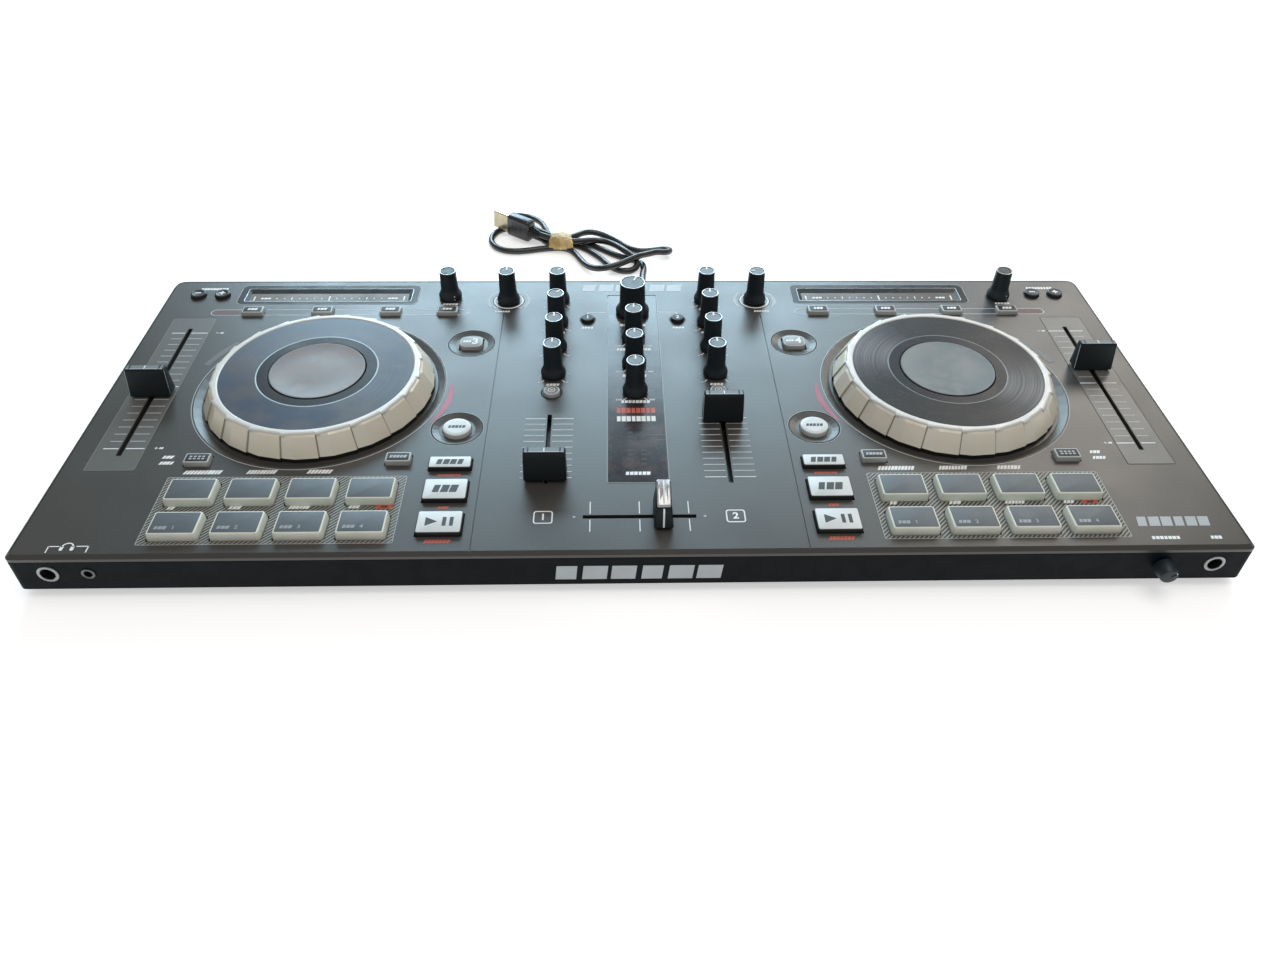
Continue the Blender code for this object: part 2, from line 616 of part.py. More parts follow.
# ---------------------------------------------------------------- faders
def fader_cap(name, location, along_y, mat):
    """A wedge cap on its flat stem; its long side is across its travel."""
    if along_y:
        base, crown, lean, stem = CAP_BASE, CAP_CROWN, CAP_LEAN, (STEM_T, CAP_STEM_L)
    else:
        base, crown, lean, stem = CROSS_BASE, CROSS_CROWN, CROSS_LEAN, (CROSS_STEM_L, STEM_T)
    bottom = STEM_BOTTOM - PANEL_Z

    def shifted(size, radius, dy=0.0):
        return [(x, y + dy) for x, y in rounded_outline(*size, radius)]

    sections = [(bottom, shifted(stem, 0.2 * MM)), (CAP_LIFT, shifted(stem, 0.2 * MM)),
                (CAP_LIFT, shifted(base, 0.6 * MM)),
                (CAP_LIFT + CAP_FOOT_H, shifted(base, 0.6 * MM)),
                (CAP_TOP - CAP_EDGE, shifted(crown, 0.5 * MM, lean)),
                (CAP_TOP, shifted([side - 2 * CAP_EDGE for side in crown], 0.4 * MM, lean))]
    place(name, loft(sections), mat=mat, location=location)


def make_faders():
    black = ((0.012, 0.013, 0.015), 0.35)
    for side, sign in DECKS:
        fader_cap(f"pitch_fader_{side}", (sign * PITCH_X, PITCH_REST_Y[side], PANEL_Z), True,
                  black)
        fader_cap(f"channel_fader_{side}", (sign * CHANNEL_X, CHANNEL_REST_Y[side], PANEL_Z),
                  True, black)
    fader_cap("crossfader", (CROSS_REST_X, CROSS_Y, PANEL_Z), False, black)


# ---------------------------------------------------------------- knobs
def make_knobs():
    black = ((0.012, 0.013, 0.015), 0.4)
    shaft = SHAFT_BOTTOM - PANEL_Z
    low, high = KNOB_SKIRT_Z
    for name, kind, x, y in knob_places():
        crown, body, skirt = KNOB_RADII[kind]
        top = BEATS_TOP if name.startswith("beats") else KNOB_TOP
        profile = ((0, top), (crown, top), (body, KNOB_NECK_Z), (skirt, high),
                   (skirt, low), (KNOB_SHAFT_R, low), (KNOB_SHAFT_R, shaft), (0, shaft))
        turned(name, profile, (x, y, PANEL_Z), black, segments=14)
    face = -BODY_D / 2
    tip = MIC_KNOB_FRONT - face
    shaft_end = WALL_T + SOCKET_SET_BACK
    profile = ((0, tip), (MIC_KNOB_R[0], tip), (MIC_KNOB_R[1], tip + MIC_KNOB_EDGE),
               (MIC_KNOB_R[2], -MIC_KNOB_OUT), (MIC_SHAFT_R, -MIC_KNOB_OUT),
               (MIC_SHAFT_R, shaft_end), (0, shaft_end))
    flipped = [(r, -y) for r, y in profile]
    knob = turned("mic_gain_knob", flipped, (MIC_X, face, SOCKET_Z), black, segments=16)
    knob.rotation_euler = (math.pi / 2, 0, 0)


# ---------------------------------------------------------------- keys and pads
def round_key(name, x, y, radius, height, mat):
    flange_bottom = FLANGE_TOP - FLANGE_T - PANEL_Z
    flange_top = FLANGE_TOP - PANEL_Z
    plunger = PLUNGER_BOTTOM - PANEL_Z
    flange = radius + FLANGE_EDGE + BUTTON_CLEAR
    profile = ((0, height), (radius - ROUND_EDGE[0], height), (radius, height - ROUND_EDGE[1]),
               (radius, flange_top), (flange, flange_top), (flange, flange_bottom),
               (PLUNGER / 2, flange_bottom), (PLUNGER / 2, plunger), (0, plunger))
    turned(name, profile, (x, y, PANEL_Z), mat, segments=14)


def square_key(name, x, y, width, depth, height, radius, mat):
    flange_bottom = FLANGE_TOP - FLANGE_T - PANEL_Z
    flange_top = FLANGE_TOP - PANEL_Z
    plunger = PLUNGER_BOTTOM - PANEL_Z
    grow = 2 * (FLANGE_EDGE + BUTTON_CLEAR)
    key = rounded_outline(width, depth, radius)
    flange = rounded_outline(width + grow, depth + grow, radius)
    pin = rounded_outline(PLUNGER, PLUNGER, 0.3 * MM)
    soft = rounded_outline(width - 2 * BUTTON_EDGE, depth - 2 * BUTTON_EDGE,
                           max(radius - 0.4 * MM, 0.3 * MM))
    sections = [(plunger, pin), (flange_bottom, pin), (flange_bottom, flange),
                (flange_top, flange), (flange_top, key), (height - BUTTON_EDGE, key),
                (height, soft)]
    place(name, loft(sections), mat=mat, location=(x, y, PANEL_Z))


def make_keys():
    silver = ((0.75, 0.76, 0.77), 0.35)
    frost = ((0.55, 0.56, 0.55), 0.5)
    for name, x, y, radius, height in round_key_places():
        round_key(name, x, y, radius, height, silver if "shift" in name else frost)
    for name, x, y, width, depth, height, radius in square_key_places():
        mat = silver if width == TRANSPORT_W else frost
        square_key(name, x, y, width, depth, height, radius, mat)


def key_strip(name, sheet, keys, mat):
    """A moulded sheet under the panel with its keys standing up through it."""
    low, high = sheet
    z1 = MAT_TOP
    z0 = MAT_TOP - MAT_T
    obj = place(name, boxes([((low[0], low[1], z0), (high[0], high[1], z1))]), mat=mat)
    bm = bmesh.new()
    for x, y, outline, top_outline, height in keys:
        heights = (z1 - MAT_OVERLAP, PANEL_Z + height - BUTTON_EDGE, PANEL_Z + height)
        piece = loft(list(zip(heights, (outline, outline, top_outline))))
        piece.transform(Matrix.Translation((x, y, 0)))
        bm.from_mesh(piece)
    mesh = bpy.data.meshes.new(name + "_keys")
    bm.to_mesh(mesh)
    bm.free()
    boolean(obj, mesh, "UNION", "join_" + name)


def make_strips(side, sign):
    rubber = ((0.5, 0.5, 0.46), 0.6)
    pad = rounded_outline(*PAD_SIZE, PAD_CORNER_R)
    crown = rounded_outline(PAD_SIZE[0] - 2 * PAD_TAPER, PAD_SIZE[1] - 2 * PAD_TAPER, PAD_TAPER)
    pads = [(sign * x, y, pad, crown, PAD_H) for x in PAD_X for y in PAD_Y]
    x0, x1 = sorted((sign * (PAD_X[0] - PAD_SIZE[0] / 2 - MAT_MARGIN),
                     sign * (PAD_X[-1] + PAD_SIZE[0] / 2 + MAT_MARGIN)))
    y0 = PAD_Y[1] - PAD_SIZE[1] / 2 - MAT_MARGIN
    y1 = PAD_Y[0] + PAD_SIZE[1] / 2 + MAT_MARGIN
    key_strip(f"pad_mat_{side}", ((x0, y0), (x1, y1)), pads, rubber)

    key = rounded_outline(*FX_KEY, FX_CORNER_R)
    cap = rounded_outline(FX_KEY[0] - 2 * BUTTON_EDGE, FX_KEY[1] - 2 * BUTTON_EDGE, BUTTON_EDGE)
    jog_x = sign * JOG_X
    keys = [(jog_x + offset, FX_Y, key, cap, FX_H) for offset in FX_OFFSETS]
    half = FX_KEY[0] / 2 + MAT_MARGIN
    deep = FX_KEY[1] / 2 + MAT_MARGIN
    key_strip(f"fx_keys_{side}", ((jog_x + FX_OFFSETS[0] - half, FX_Y - deep),
                                  (jog_x + FX_OFFSETS[-1] + half, FX_Y + deep)), keys, rubber)

    disc = rounded_outline(2 * ROUND_KEY_R, 2 * ROUND_KEY_R, ROUND_KEY_R - 0.01 * MM, steps=3)
    top_r = ROUND_KEY_R - BUTTON_EDGE
    face = rounded_outline(2 * top_r, 2 * top_r, top_r - 0.01 * MM, steps=3)
    keys = [(sign * x, PITCH_BEND_Y, disc, face, ROUND_KEY_H) for x in PITCH_BEND_X]
    half = ROUND_KEY_R + MAT_MARGIN
    x0, x1 = sorted((sign * (PITCH_BEND_X[0] - half), sign * (PITCH_BEND_X[1] + half)))
    key_strip(f"pitch_bend_keys_{side}", ((x0, PITCH_BEND_Y - half), (x1, PITCH_BEND_Y + half)),
              keys, ((0.03, 0.03, 0.03), 0.5))


# ---------------------------------------------------------------- USB lead
def plug(name, end, angle, pitch, on_edge, stages, mat):
    """A plug along its own +Z from its cable end: stages are (distance, width, thickness)."""
    sections = [(z, rounded_outline(width, thickness, min(width, thickness) * PLUG_CORNER))
                for z, width, thickness in stages]
    obj = place(name, loft(sections), mat=mat)
    heading = Matrix.Rotation(angle, 4, "Z") @ Matrix.Rotation(-pitch, 4, "Y")
    lay = heading @ Matrix.Rotation(math.pi / 2, 4, "Y")
    if not on_edge:
        lay = lay @ Matrix.Rotation(math.pi / 2, 4, "Z")
    obj.matrix_world = Matrix.Translation(end) @ lay


def make_lead():
    rubber = ((0.012, 0.012, 0.012), 0.35)
    plug("usb_plug_a", PLUG_A_END, PLUG_A_ANGLE, PLUG_A_PITCH, True, PLUG_A_STAGES, rubber)
    plug("usb_plug_b", PLUG_B_END, PLUG_B_ANGLE, 0.0, False, PLUG_B_STAGES, rubber)
    curve = bpy.data.curves.new("hank_outline", "CURVE")
    curve.dimensions = "2D"
    curve.fill_mode = "BOTH"
    curve.extrude = (HANK_TOP - GAP) / 2
    curve.resolution_u = 2
    spline = curve.splines.new("BEZIER")
    spline.bezier_points.add(len(HANK_OUTLINE) - 1)
    for point, (x, y) in zip(spline.bezier_points, HANK_OUTLINE):
        point.co = (x * MM, y * MM, 0)
        point.handle_left_type = "AUTO"
        point.handle_right_type = "AUTO"
    spline.use_cyclic_u = True
    guide = bpy.data.objects.new("hank_outline", curve)
    CUTTERS.objects.link(guide)
    bpy.context.view_layer.update()
    evaluated = guide.evaluated_get(bpy.context.evaluated_depsgraph_get())
    mesh = bpy.data.meshes.new_from_object(evaluated)
    bm = bmesh.new()
    bm.from_mesh(mesh)
    bmesh.ops.remove_doubles(bm, verts=bm.verts, dist=0.00001)
    bmesh.ops.recalc_face_normals(bm, faces=bm.faces)
    bm.to_mesh(mesh)
    bm.free()
    bpy.data.objects.remove(guide)
    hank = place("usb_cable_hank", mesh, mat=((0.01, 0.01, 0.01), 0.3),
                 location=(0, 0, (HANK_TOP + GAP) / 2))
    ends = (PLUG_A_END, PLUG_B_END)
    angles = (PLUG_A_ANGLE, PLUG_B_ANGLE)
    for index, (end, angle, width, length) in enumerate(zip(ends, angles, BED_WIDTHS,
                                                            BED_LENGTHS)):
        bed = boxes([((-GAP, -width / 2, -BED_HALF_H), (length, width / 2, BED_HALF_H))])
        bed.transform(Matrix.Translation((end.x, end.y, 0)) @ Matrix.Rotation(angle, 4, "Z"))
        boolean(hank, bed, "DIFFERENCE", f"cut_plug_bed_{index}")


make_top_case()
make_bottom_case()
make_feet()
make_circuit_board()
for deck_side, deck_sign in DECKS:
    make_jog(deck_side, deck_sign)
    make_strips(deck_side, deck_sign)
make_faders()
make_knobs()
make_keys()
make_lead()
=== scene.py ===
"""Looks of the two-deck DJ controller and its tied USB lead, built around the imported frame.

+X is to the player's right, +Y away from the player, +Z up.  All lengths are in metres.
"""
import math

import bmesh
import bpy
from mathutils import Matrix, Vector, noise


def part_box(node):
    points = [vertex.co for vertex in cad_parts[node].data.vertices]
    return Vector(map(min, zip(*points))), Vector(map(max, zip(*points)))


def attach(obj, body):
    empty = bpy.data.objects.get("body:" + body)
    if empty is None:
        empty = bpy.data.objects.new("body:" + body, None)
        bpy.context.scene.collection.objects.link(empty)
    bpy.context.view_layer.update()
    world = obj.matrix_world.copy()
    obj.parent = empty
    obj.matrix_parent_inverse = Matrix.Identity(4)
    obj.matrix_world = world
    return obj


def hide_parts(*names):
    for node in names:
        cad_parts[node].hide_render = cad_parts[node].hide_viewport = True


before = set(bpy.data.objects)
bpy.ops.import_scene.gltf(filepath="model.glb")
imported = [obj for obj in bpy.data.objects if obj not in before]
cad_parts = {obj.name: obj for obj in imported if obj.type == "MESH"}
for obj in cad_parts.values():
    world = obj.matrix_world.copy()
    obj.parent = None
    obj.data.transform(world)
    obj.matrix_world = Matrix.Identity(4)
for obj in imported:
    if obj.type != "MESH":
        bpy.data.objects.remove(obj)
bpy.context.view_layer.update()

MM = 0.001
SIDES = (("left", -1), ("right", 1))


def box(node):
    """A node's low and high corner, in millimetres."""
    low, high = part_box(node)
    return Vector(low) / MM, Vector(high) / MM


def middle(node):
    low, high = box(node)
    return (low + high) / 2


PANEL = box("top_case")[1].z
PRINT_LOW = PANEL - 0.03
PRINT_HIGH = PANEL + 0.06


# ---------------------------------------------------------------- camera
CAMERA_AT = Vector((-11.9, -410.6, 331.5)) * MM
CAMERA_DOWN = 0.729
CAMERA_YAW = 0.037
CAMERA_ROLL = 0.018
CAMERA_LENS = 27.6


def make_camera():
    forward = Vector((math.sin(CAMERA_YAW) * math.cos(CAMERA_DOWN),
                      math.cos(CAMERA_YAW) * math.cos(CAMERA_DOWN), -math.sin(CAMERA_DOWN)))
    level = Vector((math.cos(CAMERA_YAW), -math.sin(CAMERA_YAW), 0))
    above = level.cross(forward)
    right = math.cos(CAMERA_ROLL) * level + math.sin(CAMERA_ROLL) * above
    up = right.cross(forward)
    data = bpy.data.cameras.new("photo_camera")
    data.lens = CAMERA_LENS
    data.sensor_width = 36
    data.clip_start = 0.01
    camera = bpy.data.objects.new("photo_camera", data)
    turn = Matrix((right, up, -forward)).transposed().to_4x4()
    camera.matrix_world = Matrix.Translation(CAMERA_AT) @ turn
    bpy.context.scene.collection.objects.link(camera)
    bpy.context.scene.camera = camera


make_camera()


# ---------------------------------------------------------------- materials
def surface(name, colour, rough, metallic=0.0, shade=0.1, patch=40.0, grain=1500.0,
            bump=0.02, mottle=0.08, dust=0.0, scratch=0.0, coat=0.0, specular=0.5,
            see_through=0.0, under=None):
    """A procedural finish: patchy tone, fine grain, uneven gloss, dust and light scratches."""
    mat = bpy.data.materials.new(name)
    mat.use_nodes = True
    nodes = mat.node_tree.nodes
    link = mat.node_tree.links.new
    shader = nodes["Principled BSDF"]
    place = nodes.new("ShaderNodeTexCoord").outputs["Object"]

    def mottled(scale, detail, source=place):
        texture = nodes.new("ShaderNodeTexNoise")
        texture.inputs["Scale"].default_value = scale
        texture.inputs["Detail"].default_value = detail
        link(source, texture.inputs["Vector"])
        return texture.outputs["Fac"]

    def remap(value, low, high, to_low, to_high):
        node = nodes.new("ShaderNodeMapRange")
        for index, number in enumerate((low, high, to_low, to_high), 1):
            node.inputs[index].default_value = number
        link(value, node.inputs[0])
        return node.outputs[0]

    def blend(factor, a, b, mode="MIX"):
        node = nodes.new("ShaderNodeMix")
        node.data_type = "RGBA"
        node.blend_type = mode
        for value, socket in ((factor, node.inputs["Factor"]), (a, node.inputs[6]),
                              (b, node.inputs[7])):
            if isinstance(value, bpy.types.NodeSocket):
                link(value, socket)
            else:
                socket.default_value = value
        return node.outputs[2]

    tone = remap(mottled(patch, 5.0), 0.3, 0.7, 1 - shade, 1 + shade)
    base = blend(1.0, (*colour, 1.0), tone, "MULTIPLY")
    if under:
        base = blend(remap(mottled(patch * 6, 8.0), 0.45, 0.62, 0.0, 1.0), base, (*under, 1.0))
    gloss = remap(mottled(patch * 2.3, 6.0), 0.3, 0.7, rough - mottle * rough,
                  rough + mottle * rough)
    if scratch:
        for turn, stretch in ((0.35, 60.0), (-0.9, 45.0)):
            mapping = nodes.new("ShaderNodeMapping")
            mapping.inputs["Rotation"].default_value = (0, 0, turn)
            mapping.inputs["Scale"].default_value = (1, stretch, 1)
            link(place, mapping.inputs["Vector"])
            line = remap(mottled(22.0, 3.0, mapping.outputs[0]), 0.69, 0.73, 0.0, scratch)
            base = blend(line, base, (0.75, 0.76, 0.76, 1))
    if dust:
        normal = nodes.new("ShaderNodeNewGeometry").outputs["Normal"]
        split = nodes.new("ShaderNodeSeparateXYZ")
        link(normal, split.inputs[0])
        level = remap(split.outputs["Z"], 0.6, 1.0, 0.0, dust)
        specks = remap(mottled(1100.0, 2.0), 0.62, 0.75, 0.12, 1.0)
        product = nodes.new("ShaderNodeMath")
        product.operation = "MULTIPLY"
        link(level, product.inputs[0])
        link(specks, product.inputs[1])
        base = blend(product.outputs[0], base, (0.62, 0.6, 0.56, 1))
    link(base, shader.inputs["Base Color"])
    link(gloss, shader.inputs["Roughness"])
    shader.inputs["Metallic"].default_value = metallic
    shader.inputs["Specular IOR Level"].default_value = specular
    shader.inputs["Coat Weight"].default_value = coat
    shader.inputs["Coat Roughness"].default_value = 0.06
    shader.inputs["Subsurface Weight"].default_value = see_through
    shader.inputs["Subsurface Radius"].default_value = (0.004, 0.004, 0.003)
    if bump:
        node = nodes.new("ShaderNodeBump")
        node.inputs["Strength"].default_value = bump
        node.inputs["Distance"].default_value = 0.0004
        link(mottled(grain, 3.0), node.inputs["Height"])
        link(node.outputs[0], shader.inputs["Normal"])
    return mat


PAINT = surface("panel_grey", (0.040, 0.037, 0.032), 0.37, 0.0, 0.08, 14, 2600, 0.05, 0.1,
                dust=0.05, specular=0.75)


def darken_parts(mat, above, beyond):
    """The parts that stand on the board, and the sockets at its edges, are black."""
    nodes = mat.node_tree.nodes
    link = mat.node_tree.links.new
    shader = nodes["Principled BSDF"]
    base = shader.inputs["Base Color"].links[0].from_socket
    split = nodes.new("ShaderNodeSeparateXYZ")
    link(nodes.new("ShaderNodeTexCoord").outputs["Object"], split.inputs[0])
    tests = []
    for socket, limit in (("Z", above), ("Y", beyond)):
        test = nodes.new("ShaderNodeMath")
        test.operation = "GREATER_THAN"
        reach = nodes.new("ShaderNodeMath")
        reach.operation = "ABSOLUTE"
        link(split.outputs[socket], reach.inputs[0])
        link(reach.outputs[0], test.inputs[0])
        test.inputs[1].default_value = limit
        tests.append(test.outputs[0])
    either = nodes.new("ShaderNodeMath")
    either.operation = "MAXIMUM"
    link(tests[0], either.inputs[0])
    link(tests[1], either.inputs[1])
    mix = nodes.new("ShaderNodeMix")
    mix.data_type = "RGBA"
    link(either.outputs[0], mix.inputs["Factor"])
    link(base, mix.inputs[6])
    mix.inputs[7].default_value = (0.008, 0.008, 0.009, 1)
    link(mix.outputs[2], shader.inputs["Base Color"])


PITCH_PAINT = surface("pitch_plate_grey", (0.115, 0.115, 0.11), 0.36, 0.0, 0.05, 30, 2400, 0.05,
                      dust=0.06, specular=0.6)
CASE = surface("case_black", (0.004, 0.006, 0.008), 0.5, 0.0, 0.2, 60, 2200, 0.25, 0.15,
               dust=0.05, specular=0.08)
BOARD = surface("circuit_green", (0.012, 0.05, 0.03), 0.4, 0.0, 0.25, 220, 900, 0.1,
                under=(0.03, 0.09, 0.04))
darken_parts(BOARD, 12.5 * MM, 108 * MM)
RUBBER = surface("foot_rubber", (0.02, 0.02, 0.02), 0.8, 0.0, 0.2, 90, 1800, 0.3, dust=0.1)
GLASS = surface("display_glass", (0.25, 0.245, 0.25), 0.22, 0.0, 0.15, 24, 900, 0.0, 0.1,
                dust=0.03, specular=0.11, under=(0.27, 0.245, 0.24))
CABLE = surface("cable_black", (0.012, 0.013, 0.013), 0.3, 0.0, 0.2, 120, 2200, 0.12,
                specular=0.7)
SILVER = surface("jog_silver", (0.87, 0.81, 0.67), 0.34, 0.3, 0.05, 45, 3000, 0.06, 0.15,
                 scratch=0.1)
RIM = surface("jog_rim", (0.66, 0.64, 0.61), 0.35, 0.1, 0.05, 50, 3000, 0.03, 0.2, scratch=0.12)
# The left jog plate is a bluer, lighter copy of the right one, with lighter blotches: painted
# reflection of the bluish rear light.
PLATE_LEFT = surface("jog_plate_left", (0.085, 0.11, 0.15), 0.2, 0.0, 0.2, 9, 900, 0.0, 0.25,
                     dust=0.05, specular=0.12, scratch=0.05, under=(0.115, 0.125, 0.142))
PLATE_RIGHT = surface("jog_plate_right", (0.04, 0.04, 0.042), 0.3, 0.0, 0.12, 22, 1600, 0.02,
                      0.2, dust=0.1, specular=0.08, scratch=0.06)
BAND = surface("jog_band", (0.03, 0.03, 0.036), 0.25, 0.0, 0.1, 30, 900, 0.0, 0.2, dust=0.05,
               specular=0.1)
BLACK = surface("fader_black", (0.006, 0.011, 0.013), 0.42, 0.0, 0.15, 90, 2400, 0.12, 0.15,
                dust=0.02, specular=0.25)
KNOB = surface("knob_black", (0.012, 0.020, 0.026), 0.42, 0.0, 0.15, 120, 2600, 0.15, 0.15,
               specular=0.4)
CAP_GREY = surface("knob_cap_grey", (0.17, 0.20, 0.215), 0.5, 0.0, 0.06, 160, 3000, 0.06, 0.15)
CHROME = surface("bright_chrome", (0.58, 0.59, 0.60), 0.28, 0.7, 0.04, 60, 2000, 0.01, 0.3)
PAD_SIDE = surface("pad_silicone", (0.72, 0.73, 0.64), 0.5, 0.0, 0.06, 70, 2600, 0.1, 0.1,
                   dust=0.05, see_through=0.25)
PAD_FACE = surface("pad_face", (0.085, 0.10, 0.115), 0.42, 0.0, 0.07, 60, 2600, 0.12, 0.1,
                   dust=0.06)
KEY_WHITE = surface("key_silver", (0.62, 0.63, 0.62), 0.36, 0.05, 0.04, 70, 2800, 0.04, 0.15,
                    scratch=0.06)
FROST = surface("key_frosted", (0.45, 0.455, 0.44), 0.4, 0.0, 0.05, 80, 2600, 0.05, 0.1,
                see_through=0.3)
FROST_DARK = surface("key_face", (0.035, 0.039, 0.042), 0.4, 0.0, 0.08, 90, 2600, 0.08,
                     specular=0.2)
DECK_FACE = surface("deck_face", (0.24, 0.255, 0.26), 0.4, 0.0, 0.06, 80, 2600, 0.05,
                    see_through=0.15)
BUTTON = surface("key_black", (0.02, 0.022, 0.024), 0.4, 0.0, 0.15, 110, 2400, 0.15)
PRINT = surface("print_white", (0.86, 0.87, 0.86), 0.5, 0.0, 0.07, 300, 2600, 0.05)
PRINT_DIM = surface("print_grey", (0.42, 0.44, 0.45), 0.5, 0.0, 0.07, 300, 2600, 0.05)
PRINT_RED = surface("print_red", (0.55, 0.10, 0.06), 0.5, 0.0, 0.1, 300, 2600, 0.05)
PRINT_PINK = surface("print_pink", (0.42, 0.11, 0.17), 0.5, 0.0, 0.2, 60, 2600, 0.05)
PRINT_DARK = surface("print_dark", (0.035, 0.037, 0.038), 0.5, 0.0, 0.1, 300, 2600, 0.05)
STRIP_BED = surface("strip_bed", (0.15, 0.125, 0.105), 0.3, 0.0, 0.2, 30, 900, 0.0, 0.2,
                    specular=0.15)
METER = surface("meter_window", (0.014, 0.013, 0.018), 0.2, 0.0, 0.2, 13, 900, 0.0, 0.25,
                dust=0.12, specular=0.4, scratch=0.12, under=(0.065, 0.042, 0.042))
# Black; also used as painted shade, in the rings laid where the gaps and grooves round keys and the jog
# wells fall into shade, in the screw recesses and on the right pitch plate's edge.
BLACK_AND_PAINTED_GAP_SHADE = surface("black_and_painted_gap_shade", (0.004, 0.004, 0.004), 0.7, 0.0, 0.2, 90, 1500, 0.1)
TAPE = surface("tie_tape", (0.66, 0.47, 0.20), 0.45, 0.0, 0.25, 160, 900, 0.5, 0.15)
TAPE_DARK = surface("tie_tape_dark", (0.50, 0.33, 0.12), 0.5, 0.0, 0.25, 160, 900, 0.5, 0.15)
STEEL = surface("screw_steel", (0.16, 0.16, 0.165), 0.35, 0.9, 0.1, 140, 2400, 0.1)
GOLD = surface("plug_shell", (0.50, 0.42, 0.29), 0.28, 0.85, 0.15, 120, 2000, 0.05, 0.3)
RED_PLASTIC = surface("rca_red", (0.42, 0.02, 0.02), 0.4, 0.0, 0.08, 140, 2400, 0.08)
WHITE_PLASTIC = surface("rca_white", (0.72, 0.72, 0.70), 0.4, 0.0, 0.06, 140, 2400, 0.08)
RING_LINE_DIM = surface("ring_line_dim", (0.14, 0.15, 0.155), 0.3, 0.0, 0.05, 90, 2000, 0.02)
# A lighter copy of jog_silver for the narrow facets: painted highlight where they catch the light.
SILVER_PAINTED_HIGHLIGHT = surface("jog_silver_painted_highlight", (0.88, 0.83, 0.71), 0.32, 0.3, 0.06, 45, 3000, 0.06,
                        0.15, scratch=0.1)
# The left jog's ring line is cyan where the right's is dim grey: painted reflection of the bluish rear
# light.
RING_LINE = surface("ring_line", (0.42, 0.55, 0.60), 0.3, 0.0, 0.05, 90, 2000, 0.02)
# A darker silver for the step between facets: painted shade in the groove.
FACET_GROOVE_PAINTED_SHADE = surface("facet_groove_painted_shade", (0.42, 0.38, 0.30), 0.5, 0.1, 0.1, 90, 2000, 0.05)
PAD_MARK = surface("pad_mark", (0.30, 0.33, 0.34), 0.4, 0.0, 0.06, 200, 2600, 0.05)
GLOSS = surface("gloss_frame", (0.030, 0.031, 0.033), 0.3, 0.0, 0.1, 40, 900, 0.0, 0.2,
                dust=0.04, specular=0.12)
PRINT_SOFT = surface("print_soft", (0.55, 0.56, 0.56), 0.45, 0.0, 0.07, 300, 2600, 0.05)
PITCH_EDGE = surface("plate_edge", (0.24, 0.235, 0.22), 0.35, 0.0, 0.05, 60, 2400, 0.03)
PRINT_FAINT = surface("print_faint", (0.24, 0.25, 0.26), 0.45, 0.0, 0.07, 300, 2600, 0.05)
PRINT_ROSE = surface("print_rose", (0.13, 0.055, 0.055), 0.45, 0.0, 0.1, 300, 2600, 0.05)
EDGE_SILVER = surface("thin_silver", (0.34, 0.35, 0.35), 0.3, 0.6, 0.05, 60, 2000, 0.02)
# Painted highlight laid along the fader caps' edges.
EDGE_PAINTED_HIGHLIGHT = surface("edge_painted_highlight", (0.5, 0.53, 0.54), 0.4, 0.0, 0.05, 60, 2000, 0.02)
METER_LAMP = surface("meter_lamp", (0.06, 0.05, 0.05), 0.2, 0.0, 0.15, 200, 900, 0.0)
NAME_GREY = surface("name_grey", (0.42, 0.45, 0.47), 0.42, 0.0, 0.05, 120, 2400, 0.03)
STEEL_LABEL = surface("label_silver", (0.42, 0.43, 0.44), 0.4, 0.3, 0.05, 60, 2000, 0.03)
STEM = surface("fader_stem", (0.03, 0.03, 0.032), 0.4, 0.6, 0.1, 90, 2000, 0.1)
GLASS_RIGHT = surface("display_glass_right", (0.215, 0.245, 0.25), 0.22, 0.0, 0.15, 24, 900, 0.0,
                      0.1, dust=0.05, specular=0.08, under=(0.25, 0.265, 0.27))
TREAD = surface("foot_tread", (0.035, 0.035, 0.035), 0.8, 0.0, 0.2, 90, 1800, 0.3, dust=0.1)


def make_hatch():
    """Fine diagonal lines laid over the bezel's dark ground."""
    mat = surface("bezel_hatch", (0.034, 0.034, 0.032), 0.42, 0.0, 0.06, 80, 2400, 0.05)
    nodes = mat.node_tree.nodes
    link = mat.node_tree.links.new
    shader = nodes["Principled BSDF"]
    base = shader.inputs["Base Color"].links[0].from_socket
    place = nodes.new("ShaderNodeTexCoord")
    split = nodes.new("ShaderNodeSeparateXYZ")
    link(place.outputs["Object"], split.inputs[0])

    def math_node(operation, a, b):
        node = nodes.new("ShaderNodeMath")
        node.operation = operation
        for value, socket in ((a, node.inputs[0]), (b, node.inputs[1])):
            if isinstance(value, bpy.types.NodeSocket):
                link(value, socket)
            else:
                socket.default_value = value
        return node.outputs[0]

    slope = math_node("SUBTRACT", split.outputs["X"], split.outputs["Y"])
    wave = math_node("FRACT", math_node("MULTIPLY", slope, 1 / (2.1 * MM)), 0)
    line = math_node("GREATER_THAN", wave, 0.55)
    mix = nodes.new("ShaderNodeMix")
    mix.data_type = "RGBA"
    link(line, mix.inputs["Factor"])
    link(base, mix.inputs[6])
    mix.inputs[7].default_value = (0.30, 0.29, 0.25, 1)
    link(mix.outputs[2], shader.inputs["Base Color"])
    return mat


HATCH = make_hatch()


